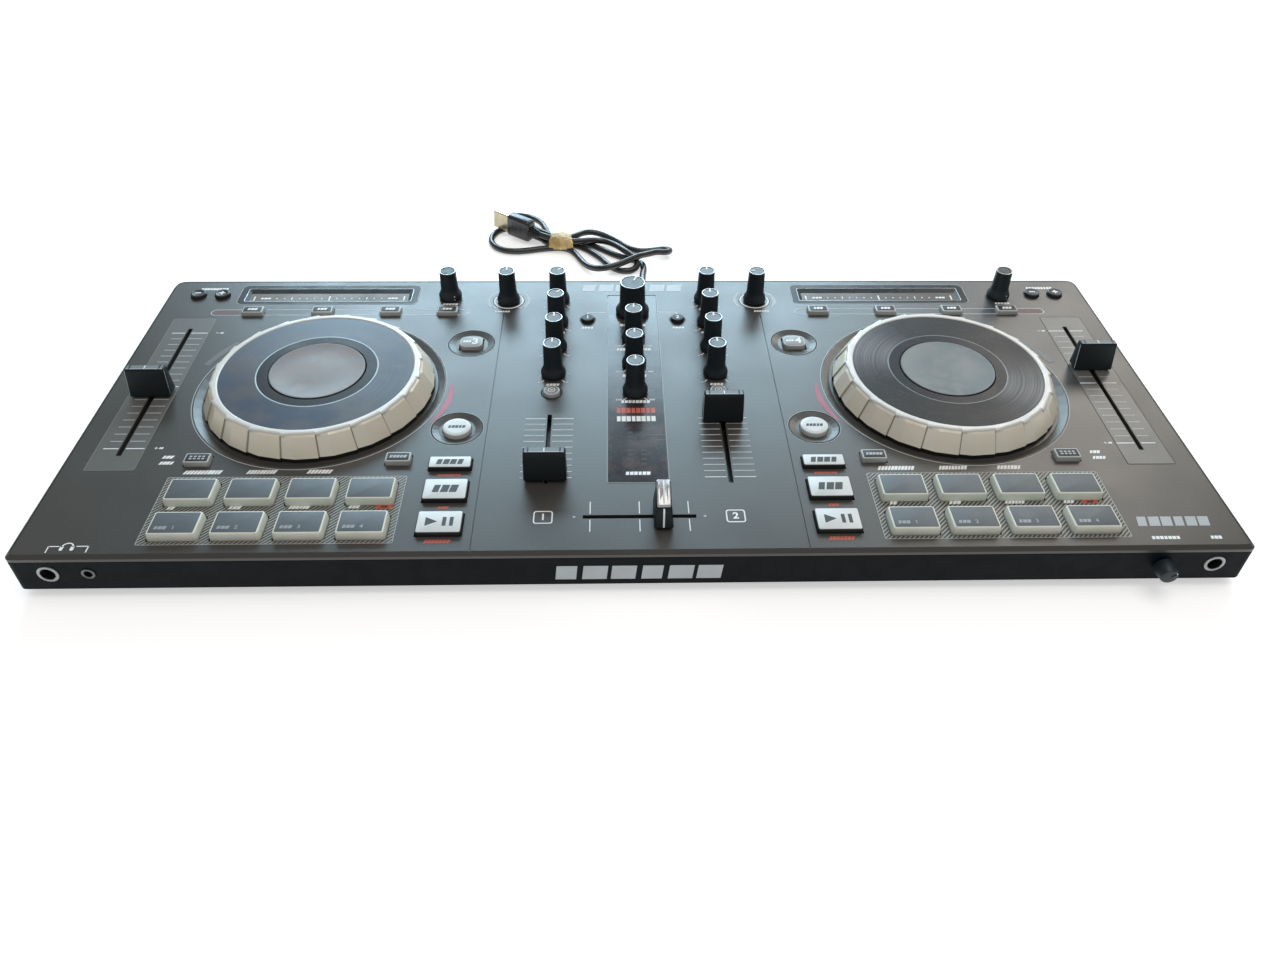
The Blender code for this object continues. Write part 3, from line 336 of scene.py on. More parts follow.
def add_grooves_and_painted_sheen(mat, centre, sheen):
    """Painted sheen: a lighter colour mixed into the base in fine rings round a centre, fanning out
    twice round the circle.
    """
    nodes = mat.node_tree.nodes
    link = mat.node_tree.links.new
    shader = nodes["Principled BSDF"]
    base = shader.inputs["Base Color"].links[0].from_socket

    def node_of(kind, operation, *values):
        node = nodes.new(kind)
        node.operation = operation
        for value, socket in zip(values, node.inputs):
            if isinstance(value, bpy.types.NodeSocket):
                link(value, socket)
            else:
                socket.default_value = value
        return node

    place = nodes.new("ShaderNodeTexCoord").outputs["Object"]
    away = node_of("ShaderNodeVectorMath", "SUBTRACT", place, tuple(centre * MM)).outputs[0]
    split = nodes.new("ShaderNodeSeparateXYZ")
    link(away, split.inputs[0])
    flat = nodes.new("ShaderNodeCombineXYZ")
    link(split.outputs["X"], flat.inputs["X"])
    link(split.outputs["Y"], flat.inputs["Y"])
    radius = node_of("ShaderNodeVectorMath", "LENGTH", flat.outputs[0]).outputs["Value"]
    rings = nodes.new("ShaderNodeTexNoise")
    rings.noise_dimensions = "1D"
    rings.inputs["Scale"].default_value = 900
    link(radius, rings.inputs["W"])
    turn = node_of("ShaderNodeMath", "ARCTAN2", split.outputs["Y"], split.outputs["X"]).outputs[0]
    twice = node_of("ShaderNodeMath", "MULTIPLY_ADD", turn, 2.0, 0.9).outputs[0]
    fan = node_of("ShaderNodeMath", "COSINE", twice).outputs[0]
    bright = node_of("ShaderNodeMath", "POWER",
                     node_of("ShaderNodeMath", "MULTIPLY_ADD", fan, 0.5, 0.5).outputs[0],
                     5.0).outputs[0]
    # painted reflection: the fan's brightness times the rings sets how much lighter colour goes in
    amount = node_of("ShaderNodeMath", "MULTIPLY", bright, rings.outputs["Fac"]).outputs[0]
    scaled = node_of("ShaderNodeMath", "MULTIPLY", amount, sheen).outputs[0]
    mix = nodes.new("ShaderNodeMix")
    mix.data_type = "RGBA"
    link(scaled, mix.inputs["Factor"])
    link(base, mix.inputs[6])
    mix.inputs[7].default_value = (0.36, 0.36, 0.37, 1)
    link(mix.outputs[2], shader.inputs["Base Color"])


# Painted sheen on both jog plates, stronger on the right.
add_grooves_and_painted_sheen(PLATE_RIGHT, middle("jog_wheel_right"), 0.8)
add_grooves_and_painted_sheen(PLATE_LEFT, middle("jog_wheel_left"), 0.25)


# ---------------------------------------------------------------- shape makers
def rounded(width, depth, radius, steps=5, cx=0.0, cy=0.0):
    """A rounded rectangle, counter-clockwise."""
    radius = min(radius, width / 2 - 0.001, depth / 2 - 0.001)
    points = []
    for quarter, (sx, sy) in enumerate(((1, -1), (1, 1), (-1, 1), (-1, -1))):
        for i in range(steps + 1):
            angle = math.pi / 2 * (quarter - 1 + i / steps)
            points.append((cx + sx * (width / 2 - radius) + radius * math.cos(angle),
                           cy + sy * (depth / 2 - radius) + radius * math.sin(angle)))
    return points


def circle(radius, cx=0.0, cy=0.0, count=48):
    return [(cx + radius * math.cos(2 * math.pi * i / count),
             cy + radius * math.sin(2 * math.pi * i / count)) for i in range(count)]


def sector(cx, cy, inner, outer, start, end, steps=40):
    """A ring sector; angles in degrees from +X."""
    angles = [math.radians(start + (end - start) * i / steps) for i in range(steps + 1)]
    outside = [(cx + outer * math.cos(a), cy + outer * math.sin(a)) for a in angles]
    inside = [(cx + inner * math.cos(a), cy + inner * math.sin(a)) for a in reversed(angles)]
    return outside + inside


def stroke(x0, y0, x1, y1, width):
    """The outline of a straight line of some width."""
    along = Vector((x1 - x0, y1 - y0)).normalized() * width / 2
    across = Vector((-along.y, along.x))
    ends = (Vector((x0, y0)) - along * 0.6, Vector((x1, y1)) + along * 0.6)
    return [tuple(ends[0] - across), tuple(ends[1] - across), tuple(ends[1] + across),
            tuple(ends[0] + across)]


class Piece:
    """One piece: shapes in the shared frame, each with its own finish."""

    def __init__(self, name, body="root", slot=None, replaces=()):
        self.name, self.body, self.slot, self.nodes = name, body, slot, replaces
        self.bm = bmesh.new()
        self.finishes = []
        self.frame = Matrix.Identity(4)

    def number(self, finish):
        if finish not in self.finishes:
            self.finishes.append(finish)
        return self.finishes.index(finish)

    def skin(self, rings, finish, caps=True, loop=False):
        """Joins rings of points; finish is one material, or one for each band and cap."""
        rows = [[self.bm.verts.new((self.frame @ Vector(p)) * MM) for p in ring] for ring in rings]
        count = len(rows[0])
        bands = list(zip(rows, rows[1:])) + ([(rows[-1], rows[0])] if loop else [])
        many = isinstance(finish, (list, tuple))
        for b, (low, high) in enumerate(bands):
            index = self.number(finish[b] if many else finish)
            for i in range(count):
                j = (i + 1) % count
                self.bm.faces.new((low[i], low[j], high[j], high[i])).material_index = index
        if caps and not loop:
            first = self.number(finish[0] if many else finish)
            last = self.number(finish[-1] if many else finish)
            self.bm.faces.new(rows[0][::-1]).material_index = first
            self.bm.faces.new(rows[-1]).material_index = last

    def loft(self, sections, finish, caps=True):
        """Sections are (outline, z)."""
        self.skin([[(x, y, z) for x, y in outline] for outline, z in sections], finish, caps)

    def slab(self, outline, low, high, finish):
        self.loft([(outline, low), (outline, high)], finish)

    def mark(self, outline, finish=None, lift=0.0):
        """A printed mark on the panel."""
        self.slab(outline, PRINT_LOW + lift, PRINT_HIGH + lift, finish or PRINT)

    def turn(self, profile, centre, finish, count=48, caps=True, loop=False):
        """A turned shape from (radius, height) pairs."""
        x, y, z = centre
        self.skin([[(x + r * math.cos(2 * math.pi * i / count),
                     y + r * math.sin(2 * math.pi * i / count), z + h)
                    for i in range(count)] for r, h in profile], finish, caps, loop)

    def ring(self, inner, outer, centre, low, high, finish, count=96):
        edge = min(high - low, outer - inner) * 0.25
        self.turn(((inner, low), (inner, high - edge), (inner + edge, high),
                   (outer - edge, high), (outer, high - edge), (outer, low)),
                  centre, finish, count, loop=True)

    def key(self, cx, cy, width, depth, radius, low, high, edge, finish, top=None, steps=4):
        """A block with a softly rounded upper edge."""
        sections = [(rounded(width, depth, radius, steps, cx, cy), low)]
        for i in range(steps + 1):
            angle = math.pi / 2 * i / steps
            inset = edge * (1 - math.cos(angle))
            sections.append((rounded(width - 2 * inset, depth - 2 * inset,
                                     max(radius - inset, 0.15), steps, cx, cy),
                             high - edge + edge * math.sin(angle)))
        self.loft(sections, [finish] * (steps + 1) + [top or finish])

    def blocks(self, cx, cy, width, height, finish=None, count=4, slant=0.12, high=None):
        """A row of small blocks where a label would be."""
        pitch = width / count
        for i in range(count):
            x = cx - width / 2 + pitch * (i + 0.5)
            half = pitch * (0.43 if i % 3 else 0.36)
            lean = slant * height
            outline = [(x - half - lean, cy - height / 2), (x + half - lean, cy - height / 2),
                       (x + half + lean, cy + height / 2), (x - half + lean, cy + height / 2)]
            if high is None:
                self.mark(outline, finish)
            else:
                self.slab(outline, high - 0.1, high + 0.05, finish or PRINT)

    def text(self, word, cx, cy, size, low, finish, high=0.03):
        """A numeral lying flat, its bottom at a height."""
        curve = bpy.data.curves.new("numeral", "FONT")
        curve.body = word
        curve.size = size
        curve.align_x = "CENTER"
        curve.align_y = "CENTER"
        curve.extrude = (high + 0.1) / 2
        curve.offset = 0.025 * size
        obj = bpy.data.objects.new("numeral", curve)
        bpy.context.scene.collection.objects.link(obj)
        bpy.context.view_layer.update()
        graph = bpy.context.evaluated_depsgraph_get()
        mesh = bpy.data.meshes.new_from_object(obj.evaluated_get(graph))
        centre = Vector((cx, cy, low + (high - 0.1) / 2))
        mesh.transform(Matrix.Scale(MM, 4) @ self.frame @ Matrix.Translation(centre))
        before = len(self.bm.faces)
        self.bm.from_mesh(mesh)
        self.bm.faces.ensure_lookup_table()
        for face in self.bm.faces[before:]:
            face.material_index = self.number(finish)
        bpy.data.objects.remove(obj)

    def cut(self, cutter):
        """Takes the shapes of another piece away from this one."""
        holder = bpy.data.objects.new("cutting", self.mesh())
        tool = bpy.data.objects.new("cutter", cutter.mesh())
        for obj in (holder, tool):
            bpy.context.scene.collection.objects.link(obj)
        modifier = holder.modifiers.new("cut", "BOOLEAN")
        modifier.operation = "DIFFERENCE"
        modifier.object = tool
        modifier.solver = "EXACT"
        bpy.context.view_layer.update()
        graph = bpy.context.evaluated_depsgraph_get()
        mesh = bpy.data.meshes.new_from_object(holder.evaluated_get(graph))
        self.bm.clear()
        self.bm.from_mesh(mesh)
        for obj in (holder, tool):
            bpy.data.objects.remove(obj)

    def mesh(self):
        bmesh.ops.recalc_face_normals(self.bm, faces=self.bm.faces)
        mesh = bpy.data.meshes.new(self.name)
        self.bm.to_mesh(mesh)
        for finish in self.finishes:
            mesh.materials.append(finish)
        return mesh

    def done(self, angle=38):
        mesh = self.mesh()
        self.bm.free()
        mesh.shade_smooth()
        mesh.set_sharp_from_angle(angle=math.radians(angle))
        obj = bpy.data.objects.new(self.name, mesh)
        bpy.context.scene.collection.objects.link(obj)
        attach(obj, self.body)
        if self.nodes:
            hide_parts(*self.nodes)
        return obj


# ---------------------------------------------------------------- the tied lead
CORD_D = 4.2 * MM
CORD_ROUTE = (
    # out of the second plug, behind the case, and up into the bundle
    (-9, 130, 5.7), (-4.5, 130.1, 5.3), (1, 131.6, 3.6), (5.6, 135.5, 2.5), (8.2, 141.5, 2.15),
    (8.3, 148.5, 2.15), (8.3, 155.5, 2.15), (8.8, 162, 2.15), (9.4, 168.5, 2.15),
    (8.2, 174.6, 2.15), (3.8, 179, 2.15), (-3, 182.6, 2.15), (-11, 188, 2.15), (-19.5, 195.3, 2.15),
    (-26.5, 200.8, 2.15), (-33, 203.8, 2.4),
    # through the tie and round the upper loop on the left
    (-40, 204.4, 2.8), (-46.5, 204.5, 2.9), (-52, 206.3, 3.4), (-55.4, 212, 4.2),
    (-57.8, 219, 4.8), (-61, 227.5, 4.6), (-66, 235.5, 3.6), (-72.5, 241.6, 2.7),
    (-79, 243.6, 2.3), (-84.3, 240.8, 2.8), (-85.8, 234.8, 4.2), (-82.8, 228.6, 5.8),
    (-77.6, 223.3, 6.9), (-71, 218.5, 7.5), (-64.5, 213.4, 7.5), (-58, 207.9, 7.3),
    (-52, 204, 6.9), (-46, 202.4, 6.9), (-40, 203.3, 6.7),
    # round the upper loop on the right, out to its tip and back low
    (-35.5, 206.7, 6.4), (-30.8, 210.6, 6.1), (-25, 212.5, 5.5), (-19, 211.3, 4.6),
    (-13, 208.2, 3.5), (-7.5, 204, 2.6), (-2.7, 199, 2.15), (2, 194.8, 2.15), (7.5, 192.4, 2.15),
    (13.5, 192.6, 2.15), (19.3, 193.6, 2.3), (25, 192.8, 3.2), (27.6, 188.4, 4.6),
    (25, 184, 5.9), (18.8, 182.4, 6.8), (12.5, 178.8, 7.4), (6.5, 174.5, 8.3),
    (0.5, 170.4, 7.9), (-5.5, 166.5, 7.3), (-12, 163.7, 6.5), (-18.6, 163.6, 5.2),
    (-24.6, 167, 3.8), (-29.3, 173, 2.9), (-32.8, 180.2, 2.5), (-36.3, 187.5, 2.5),
    # through the tie, round the lower loop on the left and back behind the first plug
    (-40.8, 193, 2.7), (-46.5, 195.2, 2.8), (-53, 195.6, 2.5), (-61, 194.8, 2.15),
    (-70, 192.6, 2.15), (-79, 192, 2.15), (-87, 194.6, 2.15), (-92.6, 200.8, 2.15),
    (-94.6, 208.3, 2.15), (-93.4, 215.6, 2.15), (-89.6, 221.8, 2.15), (-84.3, 224.6, 2.15),
    (-78.3, 222.9, 2.15), (-72, 218.6, 2.15), (-65.8, 213.9, 2.15), (-60, 209, 2.2),
    (-55.8, 203.6, 2.3), (-51, 200.6, 2.7), (-46, 199.9, 2.8), (-41, 199.6, 2.8),
    # the short low loop on the right, over itself, and home to the first plug
    (-35.5, 198.6, 2.5), (-29.8, 195, 2.15), (-24, 188.6, 2.15), (-18.6, 181.3, 2.15),
    (-14.2, 173.8, 2.15), (-9.3, 168.2, 2.15), (-3.3, 165.6, 2.15), (2.2, 166.9, 2.3),
    (5, 171, 3.6), (3.8, 175.6, 5.3), (0.6, 180.4, 6.1), (-3, 185, 6.4), (-6.2, 190, 6.1),
    (-9.8, 195, 5.5), (-14.3, 199, 5.2), (-19.8, 200.7, 5.4), (-26, 199.6, 6.3),
    (-32, 197.8, 6.8), (-39, 197.1, 6.9), (-46, 197.6, 7.1), (-53, 199.6, 7.9),
    (-60.5, 203.5, 8.4))
PLUG_A_END = Vector((-60.5, 203.5, 8.4))
PLUG_B_END = Vector((-9, 130, 5.7))
PLUG_A_ANGLE = math.radians(149)
PLUG_A_PITCH = math.radians(5)
TIE_AT = Vector((-46.3, 199.9, 4.9))


def plug_frame(end, angle, pitch, on_edge):
    """A plug's own frame: +Z out of its mouth, from its cable end."""
    turn = Matrix.Rotation(angle, 4, "Z") @ Matrix.Rotation(-pitch, 4, "Y")
    turn = turn @ Matrix.Rotation(math.pi / 2, 4, "Y")
    if not on_edge:
        turn = turn @ Matrix.Rotation(math.pi / 2, 4, "Z")
    return Matrix.Translation(end) @ turn


def plug_piece(name, node, matrix, body, shell, mouth):
    """A moulded grip with a ribbed strain relief and a hollow metal shell."""
    width, thick = body
    piece = Piece(name, slot="cable_black", replaces=(node,))
    piece.frame = matrix
    relief = []
    for i in range(6):
        z = (0.1 + 1.15 * i)
        swell = 2.5 + 0.27 * i
        relief += [(swell, z), (swell, z + 0.6), (swell - 0.45, z + 0.7),
                   (swell - 0.45, z + 1.1)]
    piece.turn(relief, (0, 0, 0), CABLE, 24)
    start, end = 6.6, (25 if shell[2] == 25 else 28)
    steps = [(0.45, 0.0), (0.8, 0.5), (0.95, 1.4), (1.0, 2.8)]
    sections = [(rounded(width * k, thick * min(1, k + 0.1), thick * 0.3 * k, 5),
                 start + d) for k, d in steps]
    for inset, back in ((0, 1.2), (0.25, 0.5), (0.7, 0.1), (1.2, 0.0)):
        sections.append((rounded(width - 2 * inset, thick - 2 * inset,
                                 thick * 0.3 - inset * 0.3, 5), end - back))
    piece.loft(sections, CABLE)
    for side in (-1, 1):
        for i in range(4):
            z = end - (5 + 2.2 * i)
            y0 = side * (thick / 2 - 0.1)
            bar = rounded(width * 0.55, 0.5, 0.2, 3, 0, y0)
            piece.slab(bar, z, z + 0.8, CABLE)
    shell_w, shell_t, _ = shell
    wall = 0.35
    outer = rounded(shell_w, shell_t, shell_t * 0.12 if not mouth else 1.4, 4)
    inner = rounded(shell_w - 2 * wall, shell_t - 2 * wall, shell_t * 0.08, 4)
    tip = 37
    deep = 28.5
    rings = [[(x, y, z) for x, y in outline] for outline, z in
             ((outer, end - 0.5), (outer, tip - 0.15), (inner, tip), (inner, deep))]
    piece.skin(rings, GOLD)
    tongue = (shell_w * 0.62, shell_t * 0.42) if mouth else (shell_w * 0.9, shell_t * 0.38)
    piece.slab(rounded(*tongue, 0.3, 3, 0, 0 if mouth else -shell_t * 0.2), deep - 0.2,
               tip - 1.2, WHITE_PLASTIC)
    return piece.done()


def make_lead():
    curve = bpy.data.curves.new("usb_lead", "CURVE")
    curve.dimensions = "3D"
    curve.bevel_depth = CORD_D / 2
    curve.bevel_resolution = 5
    curve.resolution_u = 8
    curve.use_fill_caps = True
    spline = curve.splines.new("BEZIER")
    spline.bezier_points.add(len(CORD_ROUTE) - 1)
    for point, place in zip(spline.bezier_points, CORD_ROUTE):
        point.co = Vector(place) * MM
        point.handle_left_type = "AUTO"
        point.handle_right_type = "AUTO"
    lead = bpy.data.objects.new("usb_lead", curve)
    bpy.context.scene.collection.objects.link(lead)
    lead.data.materials.append(CABLE)
    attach(lead, "root")
    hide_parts("usb_cable_hank")

    plug_a = plug_piece("usb_plug_flat", "usb_plug_a",
                        plug_frame(PLUG_A_END, PLUG_A_ANGLE, PLUG_A_PITCH, True),
                        (15.4, 8.2), (12, 4.5, 25), False)
    plug_b = plug_piece("usb_plug_square", "usb_plug_b",
                        plug_frame(PLUG_B_END, math.pi, 0, False),
                        (12, 10.8), (8.4, 7.8, 28), True)

    tie = Piece("lead_tie", slot="cable_black")
    count = 56
    for turn, (lean, shift, width, grow) in enumerate(((0.10, -3.6, 7.2, 0.0),
                                                       (-0.18, 3.4, 7.6, 0.15),
                                                       (0.22, -1.2, 5.0, 0.4),
                                                       (-0.05, 1.4, 5.4, 0.65))):
        rings = []
        steps = 9
        profile = [(width * (i / (steps - 1) - 0.5), 0.3 if 0 < i < steps - 1 else 0.05)
                   for i in range(steps)]
        profile += [(width / 2 - 0.4, -0.4), (-width / 2 + 0.4, -0.4)]
        for x, lift in profile:
            ring = []
            for i in range(count):
                angle = 2 * math.pi * i / count
                spot = Vector((x * 0.9, 7 * math.cos(angle), 5 * math.sin(angle)))
                crease = noise.noise(spot * 0.55 + Vector((9 * turn, 0, 0)))
                fold = noise.noise(Vector((x * 1.8, 2.5 * math.cos(angle), turn * 5)))
                ripple = 0.55 * crease + 0.3 * fold if lift > 0 else 0.0
                across = (7.3 + grow + lift + ripple) * math.cos(angle)
                high = (4.2 + grow + lift + 0.8 * ripple) * math.sin(angle)
                slide = x + shift + lean * across + 0.7 * crease
                ring.append(TIE_AT + Vector((slide, across - 0.12 * slide,
                                             max(high, -4.7) + 0.5)))
            rings.append(ring)
        tie.skin(rings, TAPE if turn % 2 else TAPE_DARK, loop=True)
    tie_piece = tie.done(60)


make_lead()


# ---------------------------------------------------------------- floor and light
def make_stage():
    world = bpy.data.worlds.new("soft_room")
    world.use_nodes = True
    world.node_tree.nodes["Background"].inputs[0].default_value = (1, 1, 1, 1)
    world.node_tree.nodes["Background"].inputs[1].default_value = 0.32
    bpy.context.scene.world = world
    bpy.context.scene.view_settings.view_transform = "Standard"

    bm = bmesh.new()
    bmesh.ops.create_grid(bm, x_segments=2, y_segments=2, size=6)
    mesh = bpy.data.meshes.new("floor")
    bm.to_mesh(mesh)
    bm.free()
    floor = bpy.data.objects.new("floor", mesh)
    floor.location.z = -0.0001
    bpy.context.scene.collection.objects.link(floor)
    paper = surface("floor_paper", (0.9, 0.9, 0.9), 0.9, 0.0, 0.01, 3, 400, 0.01, specular=0.0)
    glow = paper.node_tree.nodes["Principled BSDF"]
    glow.inputs["Emission Color"].default_value = (1, 1, 1, 1)
    glow.inputs["Emission Strength"].default_value = 0.5
    mesh.materials.append(paper)

    def light(name, place, target, size, power, colour=(1, 1, 1)):
        data = bpy.data.lights.new(name, "AREA")
        data.shape = "RECTANGLE"
        data.size, data.size_y = size
        data.energy = power
        data.color = colour
        lamp = bpy.data.objects.new(name, data)
        lamp.location = place
        aim = Vector(target) - Vector(place)
        lamp.rotation_euler = aim.to_track_quat("-Z", "Y").to_euler()
        bpy.context.scene.collection.objects.link(lamp)

    light("rear_window", (-0.1, 1.9, 0.95), (0, 0.1, 0), (1.6, 0.75), 41, (0.6, 0.85, 1.0))
    light("right_window", (1.1, 1.45, 1.15), (0.2, 0, 0), (0.6, 0.7), 7, (1.0, 0.93, 0.85))
    light("overhead", (0.2, -0.2, 1.9), (0, 0, 0), (1.6, 1.2), 12, (1.0, 0.97, 0.92))


make_stage()


# ---------------------------------------------------------------- case
def finish_node(node, finish):
    bpy.data.objects[node].data.materials.clear()
    bpy.data.objects[node].data.materials.append(finish)


for case_node, case_finish in (("top_case", PAINT), ("bottom_case", CASE),
                               ("circuit_board", BOARD), ("foot_front_left", RUBBER),
                               ("foot_front_right", RUBBER), ("foot_rear_left", RUBBER),
                               ("foot_rear_right", RUBBER)):
    finish_node(case_node, case_finish)


# ---------------------------------------------------------------- jog wheels
FACET_COUNT = 20
FACET_STEPS = (0.0, 0.15, 0.30, 0.45, 0.60, 0.62, 0.64, 0.76, 0.88, 0.96)
FLAT_MIDDLE = 0.3
FLAT_ENDS = math.cos(2 * math.pi * FLAT_MIDDLE / FACET_COUNT)
FACET_DEPTHS = (0, 0, 0, 0, 0, 1.3, 1, 0.72, 0.40, 0.14)


def make_jog(side, plate, line):
    node = "jog_wheel_" + side
    x, y, _ = middle(node)
    piece = Piece("jog_" + side, node, "jog_silver", (node,))
    # radius, height above the panel, how far a narrow facet steps in, finish to the next one
    profile = ((24.6, 9.5, 0, BAND), (24.6, 11.5, 0, BAND), (24.8, 11.65, 0, BAND),
               (30.05, 11.65, 0, line), (30.15, 11.7, 0, line),
               (30.6, 11.7, 0, line), (30.7, 11.65, 0, plate), (36.5, 11.65, 0, plate),
               (42.5, 11.65, 0, plate), (48.7, 11.65, 0, RIM), (49.1, 12.0, 0, RIM),
               (49.4, 12.05, 0, RIM), (50.9, 12.05, -0.8, RIM), (51.7, 11.8, -0.95, RIM),
               (52.2, 11.1, -0.8, SILVER), (53.2, 10.3, 0.5, SILVER),
               (55.6, 5.9, 0.8, SILVER), (57.6, 2.0, 0.8, SILVER), (58.0, 1.1, 0.7, BLACK_AND_PAINTED_GAP_SHADE),
               (58.0, -0.9, 0.7, BLACK_AND_PAINTED_GAP_SHADE), (56.8, -0.9, 0, BLACK_AND_PAINTED_GAP_SHADE),
               (51.0, 9.05, 0, BLACK_AND_PAINTED_GAP_SHADE), (21.5, 8.45, 0, BLACK_AND_PAINTED_GAP_SHADE),
               (21.5, 16 - PANEL, 0, BLACK_AND_PAINTED_GAP_SHADE), (19.0, 16 - PANEL, 0, BLACK_AND_PAINTED_GAP_SHADE),
               (19.0, 9.45, 0, BLACK_AND_PAINTED_GAP_SHADE))
    rings = []
    for radius, height, depth, _ in profile:
        ring = []
        for period in range(FACET_COUNT):
            for step, dip in zip(FACET_STEPS, FACET_DEPTHS):
                angle = 2 * math.pi * (period + step) / FACET_COUNT
                r = radius - depth * min(dip, 1 if depth < 0 else 2)
                if depth > 0 and dip == 0:
                    r *= FLAT_ENDS / math.cos(2 * math.pi * (step - FLAT_MIDDLE) / FACET_COUNT)
                ring.append((x + r * math.cos(angle), y + r * math.sin(angle), PANEL + height))
        rings.append(ring)
    piece.skin(rings, [row[3] for row in profile], loop=True)
    # Painted shade on the step between facets, painted highlight on the narrow facets.
    dark, bright = piece.number(FACET_GROOVE_PAINTED_SHADE), piece.number(SILVER_PAINTED_HIGHLIGHT)
    for face in piece.bm.faces:
        if face.material_index != piece.number(SILVER):
            continue
        face_middle = face.calc_center_median() / MM
        angle = math.atan2(face_middle.y - y, face_middle.x - x) / (2 * math.pi) * FACET_COUNT
        part = angle % 1
        if 0.60 < part < 0.64:
            face.material_index = dark
        elif 0.64 < part < 0.96:
            face.material_index = bright
    piece.done(6)

    node = "jog_display_" + side
    x, y, _ = middle(node)
    low = box(node)[0].z - PANEL
    glass = GLASS if side == "left" else GLASS_RIGHT
    screen = Piece("display_" + side, "root", "display_glass", (node,))
    screen.turn(((18.5, low), (18.5, 9.75), (23.9, 9.75), (24.1, 9.95), (24.1, 11.8),
                 (23.85, 12.05), (23.0, 12.05), (22.7, 12.0), (12.0, 12.0), (4.0, 12.0)),
                (x, y, PANEL), [BAND] * 4 + [RING_LINE_DIM] + [glass] * 4, 96)
    screen.done()


# The left deck's plate and ring line carry painted reflection.
make_jog("left", PLATE_LEFT, RING_LINE)
make_jog("right", PLATE_RIGHT, RING_LINE_DIM)


# ---------------------------------------------------------------- knobs
def make_knob(node, finish, aim=0.0, big=False):
    """A rubber knob with a flared skirt, a bright rim, a cap and its pointer."""
    low, high = box(node)
    x, y, _ = middle(node)
    drop = low.z - PANEL
    tall = high.z - PANEL
    grow = 3.0 if big else 0.0
    wide = 2.4 if big else 0.0
    piece = Piece(node + "_look", node, "knob_black", (node,))
    piece.turn(((3.0, drop), (3.0, 0.45), (6.2 + grow, 0.45), (6.5 + grow, 0.7),
                (6.6 + grow, 1.2), (6.58 + grow, 2.3), (6.3 + grow, 3.1), (5.6 + wide, 4.6),
                (5.15 + wide, 5.8), (4.98 + wide, 7.2), (4.7 + wide, tall - 0.9),
                (4.66 + wide, tall - 0.3), (4.5 + wide, tall - 0.05), (4.3 + wide, tall - 0.02),
                (4.12 + wide, tall - 0.1), (4.0 + wide, tall - 0.4), (3.75 + wide, tall - 0.4),
                (3.65 + wide, tall - 0.22), (1.5, tall - 0.22)),
               (x, y, PANEL), [KNOB] * 11 + [CHROME] * 3 + [KNOB] * 2 + [finish] * 3, 40)
    turn = Matrix.Translation((x, y, PANEL)) @ Matrix.Rotation(-math.radians(aim), 4, "Z")
    piece.frame = turn
    if node.startswith("beats"):
        # this endless knob has no pointer, only a tick on its skirt
        piece.skin([[(-0.4, 5.6, 3.6), (0.4, 5.6, 3.6), (0.4, 6.15, 3.6), (-0.4, 6.15, 3.6)],
                    [(-0.4, 6.0, 1.5), (0.4, 6.0, 1.5), (0.4, 6.64, 1.5), (-0.4, 6.64, 1.5)]],
                   PRINT)
        piece.done()
        return
    piece.slab(rounded(0.85, 3.6 + 0.6 * wide, 0.2, 3, 0, 2.75 + 0.7 * wide), tall - 0.42,
               tall - 0.01, PRINT)
    piece.skin([[(-0.45, 4.4 + wide, tall - 0.6), (0.45, 4.4 + wide, tall - 0.6),
                 (0.45, 4.72 + wide, tall - 0.6), (-0.45, 4.72 + wide, tall - 0.6)],
                [(-0.45, 4.6 + wide, 7.0), (0.45, 4.6 + wide, 7.0),
                 (0.45, 5.02 + wide, 7.0), (-0.45, 5.02 + wide, 7.0)]], PRINT)
    piece.done()


KNOB_AIMS = {"level_knob_left": 35, "treble_knob_left": 35, "filter_knob_right": -80,
             "beats_knob_left": 150, "beats_knob_right": 150}
KNOB_NODES = ["master_gain_knob", "cue_mix_knob", "cue_gain_knob"]
for knob_side, _ in SIDES:
    KNOB_NODES += [kind + "_knob_" + knob_side
                   for kind in ("level", "treble", "mid", "bass", "filter", "beats")]
for knob_node in KNOB_NODES:
    knob_top = KNOB if knob_node.startswith("beats") else CAP_GREY
    make_knob(knob_node, knob_top, KNOB_AIMS.get(knob_node, 0))
make_knob("browse_knob", BUTTON, 20, True)


def make_mic_knob():
    node = "mic_gain_knob"
    low, high = box(node)
    x, _, z = middle(node)
    piece = Piece(node + "_look", node, "knob_black", (node,))
    # its own +Z points out of the front face
    piece.frame = Matrix.Translation((x, 0, z)) @ Matrix.Rotation(math.pi / 2, 4, "X")
    front, back = -low.y, -high.y
    piece.turn(((2.4, back), (2.4, front - 7.2), (4.5, front - 7.2), (4.6, front - 6.8),
                (4.4, front - 4.0), (3.95, front - 0.7), (3.6, front - 0.15), (3.1, front),
                (1.0, front)), (0, 0, 0), KNOB, 32)
    piece.frame = piece.frame @ Matrix.Rotation(-math.radians(55), 4, "Z")
    piece.slab(rounded(0.7, 2.9, 0.2, 3, 0, 2.0), front - 0.3, front, PRINT)
    piece.done()


make_mic_knob()


